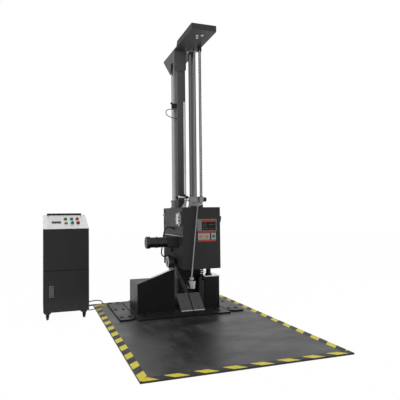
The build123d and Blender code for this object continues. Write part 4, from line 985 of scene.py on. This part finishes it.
def addDrumTrim(own):
    trim = joined(ringBand(*own["rim"]), turned(own["hub"], 6), ringBand(*own["ring"], 32))
    addPart("drumTrim", trim, "bright_steel", "wing", own["place"], leftward)


addDrumTrim(drumSet)

# Motor: fan cover with its holes, and two flanges round the body
motorSet = {
    "place": (-0.272, 0.399, 0.59), "flanges": ((0, 0, 0.082), (0, 0, 0.164)), "rings": (0.014, 0.024, 0.034),
    "cover": ((0.038, -0.003), (0.0455, -0.003), (0.049, 0.001), (0.049, 0.028), (0.0465, 0.031)),
    "flange": ((0.0455, 0.0), (0.047, 0.0012), (0.047, 0.0068), (0.0455, 0.008)),
    "hole": ((0.003, -0.0036), (0.003, -0.0026)), "holes": 12,
}


def addMotorBands(own):
    bands = joined(turned(own["cover"], 40), copies(turned(own["flange"], 40), own["flanges"]))
    addPart("motorBands", bands, "dark_metal", "carriage", own["place"], rightward)
    turns = np.linspace(0, 2 * math.pi, own["holes"], endpoint=False)
    spots = [(radius * math.cos(turn), radius * math.sin(turn), 0.0) for radius in own["rings"] for turn in turns]
    holes = copies(turned(own["hole"], 8), spots)
    addPart("fanSlots", holes, "black_rubber", "carriage", own["place"], rightward)


addMotorBands(motorSet)
print("console and wing trim set")

# Floor, background and light. The mirror stops are degrees from the front and a level.
stageSet = {
    "floorColour": 0.88, "floorShare": 0.985, "floorHalf": 14, "floorLines": 15, "floorZ": -0.0005, "worldLevel": 0.36,
    "side": (0.9416, -0.3365), "front": (-0.3366, -0.9411),
    "mirror": ((-180, 0.95), (-158, 0.95), (-138, 0.36), (-104, 0.3), (-99, 0.48), (-44, 0.48), (-39, 0.26),
               (22, 0.26), (30, 0.82), (84, 0.82), (92, 0.26), (138, 0.26), (158, 0.95), (180, 0.95)),
}
lamps = {
    "softKey": {"place": (-3.9, -0.6, 3.4), "aim": (0.0, 0.4, 0.8), "size": (2.2, 2.2), "power": 106.0},
    "softTop": {"place": (0.4, 0.2, 4.6), "aim": (0.0, 0.2, 0.0), "size": (3.0, 3.0), "power": 42.0},
    "softRight": {"place": (3.8, -0.6, 2.2), "aim": (0.1, 0.5, 1.0), "size": (1.2, 2.6), "power": 60.0},
}


def emptyTree(owner):
    owner.use_nodes = True
    owner.node_tree.nodes.clear()
    return owner.node_tree


def whiteToCamera(tree, colour, part):
    # camera, mirror and glass rays see plain white; other rays see the matt surface with its shadow
    out = tree.nodes.new("ShaderNodeOutputMaterial")
    matt = tree.nodes.new("ShaderNodeBsdfDiffuse")
    feed(tree, matt.inputs["Color"], colour)
    glow = tree.nodes.new("ShaderNodeEmission")
    rays = tree.nodes.new("ShaderNodeLightPath").outputs
    seen = mathNode(tree, "MAXIMUM", rays["Is Camera Ray"], rays["Is Glossy Ray"])
    seen = mathNode(tree, "MAXIMUM", seen, rays["Is Transmission Ray"])
    mix = tree.nodes.new("ShaderNodeMixShader")
    sources = (mathNode(tree, "MULTIPLY", seen, part), matt.outputs[0], glow.outputs[0])
    for source, socket in zip(sources, mix.inputs):
        tree.links.new(source, socket)
    tree.links.new(mix.outputs[0], out.inputs["Surface"])


def mirrorLevel(tree, own):
    # what polished faces see of the room by compass angle: light strips left and right, white behind
    x, y, z = splitAxes(tree, tree.nodes.new("ShaderNodeTexCoord").outputs["Generated"])
    side, front = (mathNode(tree, "ADD", mathNode(tree, "MULTIPLY", x, own[way][0]),
                            mathNode(tree, "MULTIPLY", y, own[way][1])) for way in ("side", "front"))
    angle = mathNode(tree, "ARCTAN2", side, front)
    ramp = tree.nodes.new("ShaderNodeValToRGB")
    for step, (degrees, level) in enumerate(own["mirror"]):
        place = degrees / 360.0 + 0.5
        stop = ramp.color_ramp.elements[step] if step < 2 else ramp.color_ramp.elements.new(place)
        stop.position = place
        stop.color = (level, level, level, 1.0)
    tree.links.new(mapped(tree, angle, -math.pi, math.pi, 0.0, 1.0), ramp.inputs["Fac"])
    return ramp.outputs["Color"]


def addFloor(own):
    half, count = own["floorHalf"], own["floorLines"]
    points, faces = flatGrid((-half, half, count), (-half, half, count), own["floorZ"])
    mesh = bpy.data.meshes.new("studioFloor")
    mesh.from_pydata(points.tolist(), [], faces)
    floor = bpy.data.objects.new("studioFloor", mesh)
    scene.collection.objects.link(floor)
    material = bpy.data.materials.new("paperFloor")
    whiteToCamera(emptyTree(material), own["floorColour"], own["floorShare"])
    mesh.materials.append(material)


def addWorld(own):
    # white to camera and glass rays, the room's strips to mirror rays, an even level to all others
    scene.world = bpy.data.worlds.new("studioWorld")
    tree = emptyTree(scene.world)
    out = tree.nodes.new("ShaderNodeOutputWorld")
    back = tree.nodes.new("ShaderNodeBackground")
    back.inputs["Color"].default_value = (1, 1, 1, 1)
    rays = tree.nodes.new("ShaderNodeLightPath").outputs
    seen = mathNode(tree, "MAXIMUM", rays["Is Camera Ray"], rays["Is Transmission Ray"])
    mirror = mathNode(tree, "MULTIPLY", rays["Is Glossy Ray"], mirrorLevel(tree, own))
    others = mathNode(tree, "SUBTRACT", 1.0, rays["Is Glossy Ray"])
    room = mathNode(tree, "ADD", mirror, mathNode(tree, "MULTIPLY", others, own["worldLevel"]))
    tree.links.new(mathNode(tree, "MAXIMUM", seen, room), back.inputs["Strength"])
    tree.links.new(back.outputs[0], out.inputs["Surface"])


def addPanelLight(name, own):
    data = bpy.data.lights.new(name, "AREA")
    data.shape = "RECTANGLE"
    data.size, data.size_y = own["size"]
    data.energy = own["power"]
    lamp = bpy.data.objects.new(name, data)
    scene.collection.objects.link(lamp)
    lamp.location = own["place"]
    lamp.visible_glossy = False  # polished faces see the room's strips, not the lamps
    lamp.rotation_mode = "QUATERNION"
    lamp.rotation_quaternion = (Vector(own["aim"]) - Vector(own["place"])).to_track_quat("-Z", "Y")


addFloor(stageSet)
addWorld(stageSet)
for label, own in lamps.items():
    addPanelLight(label, own)
print("stage and lights set")
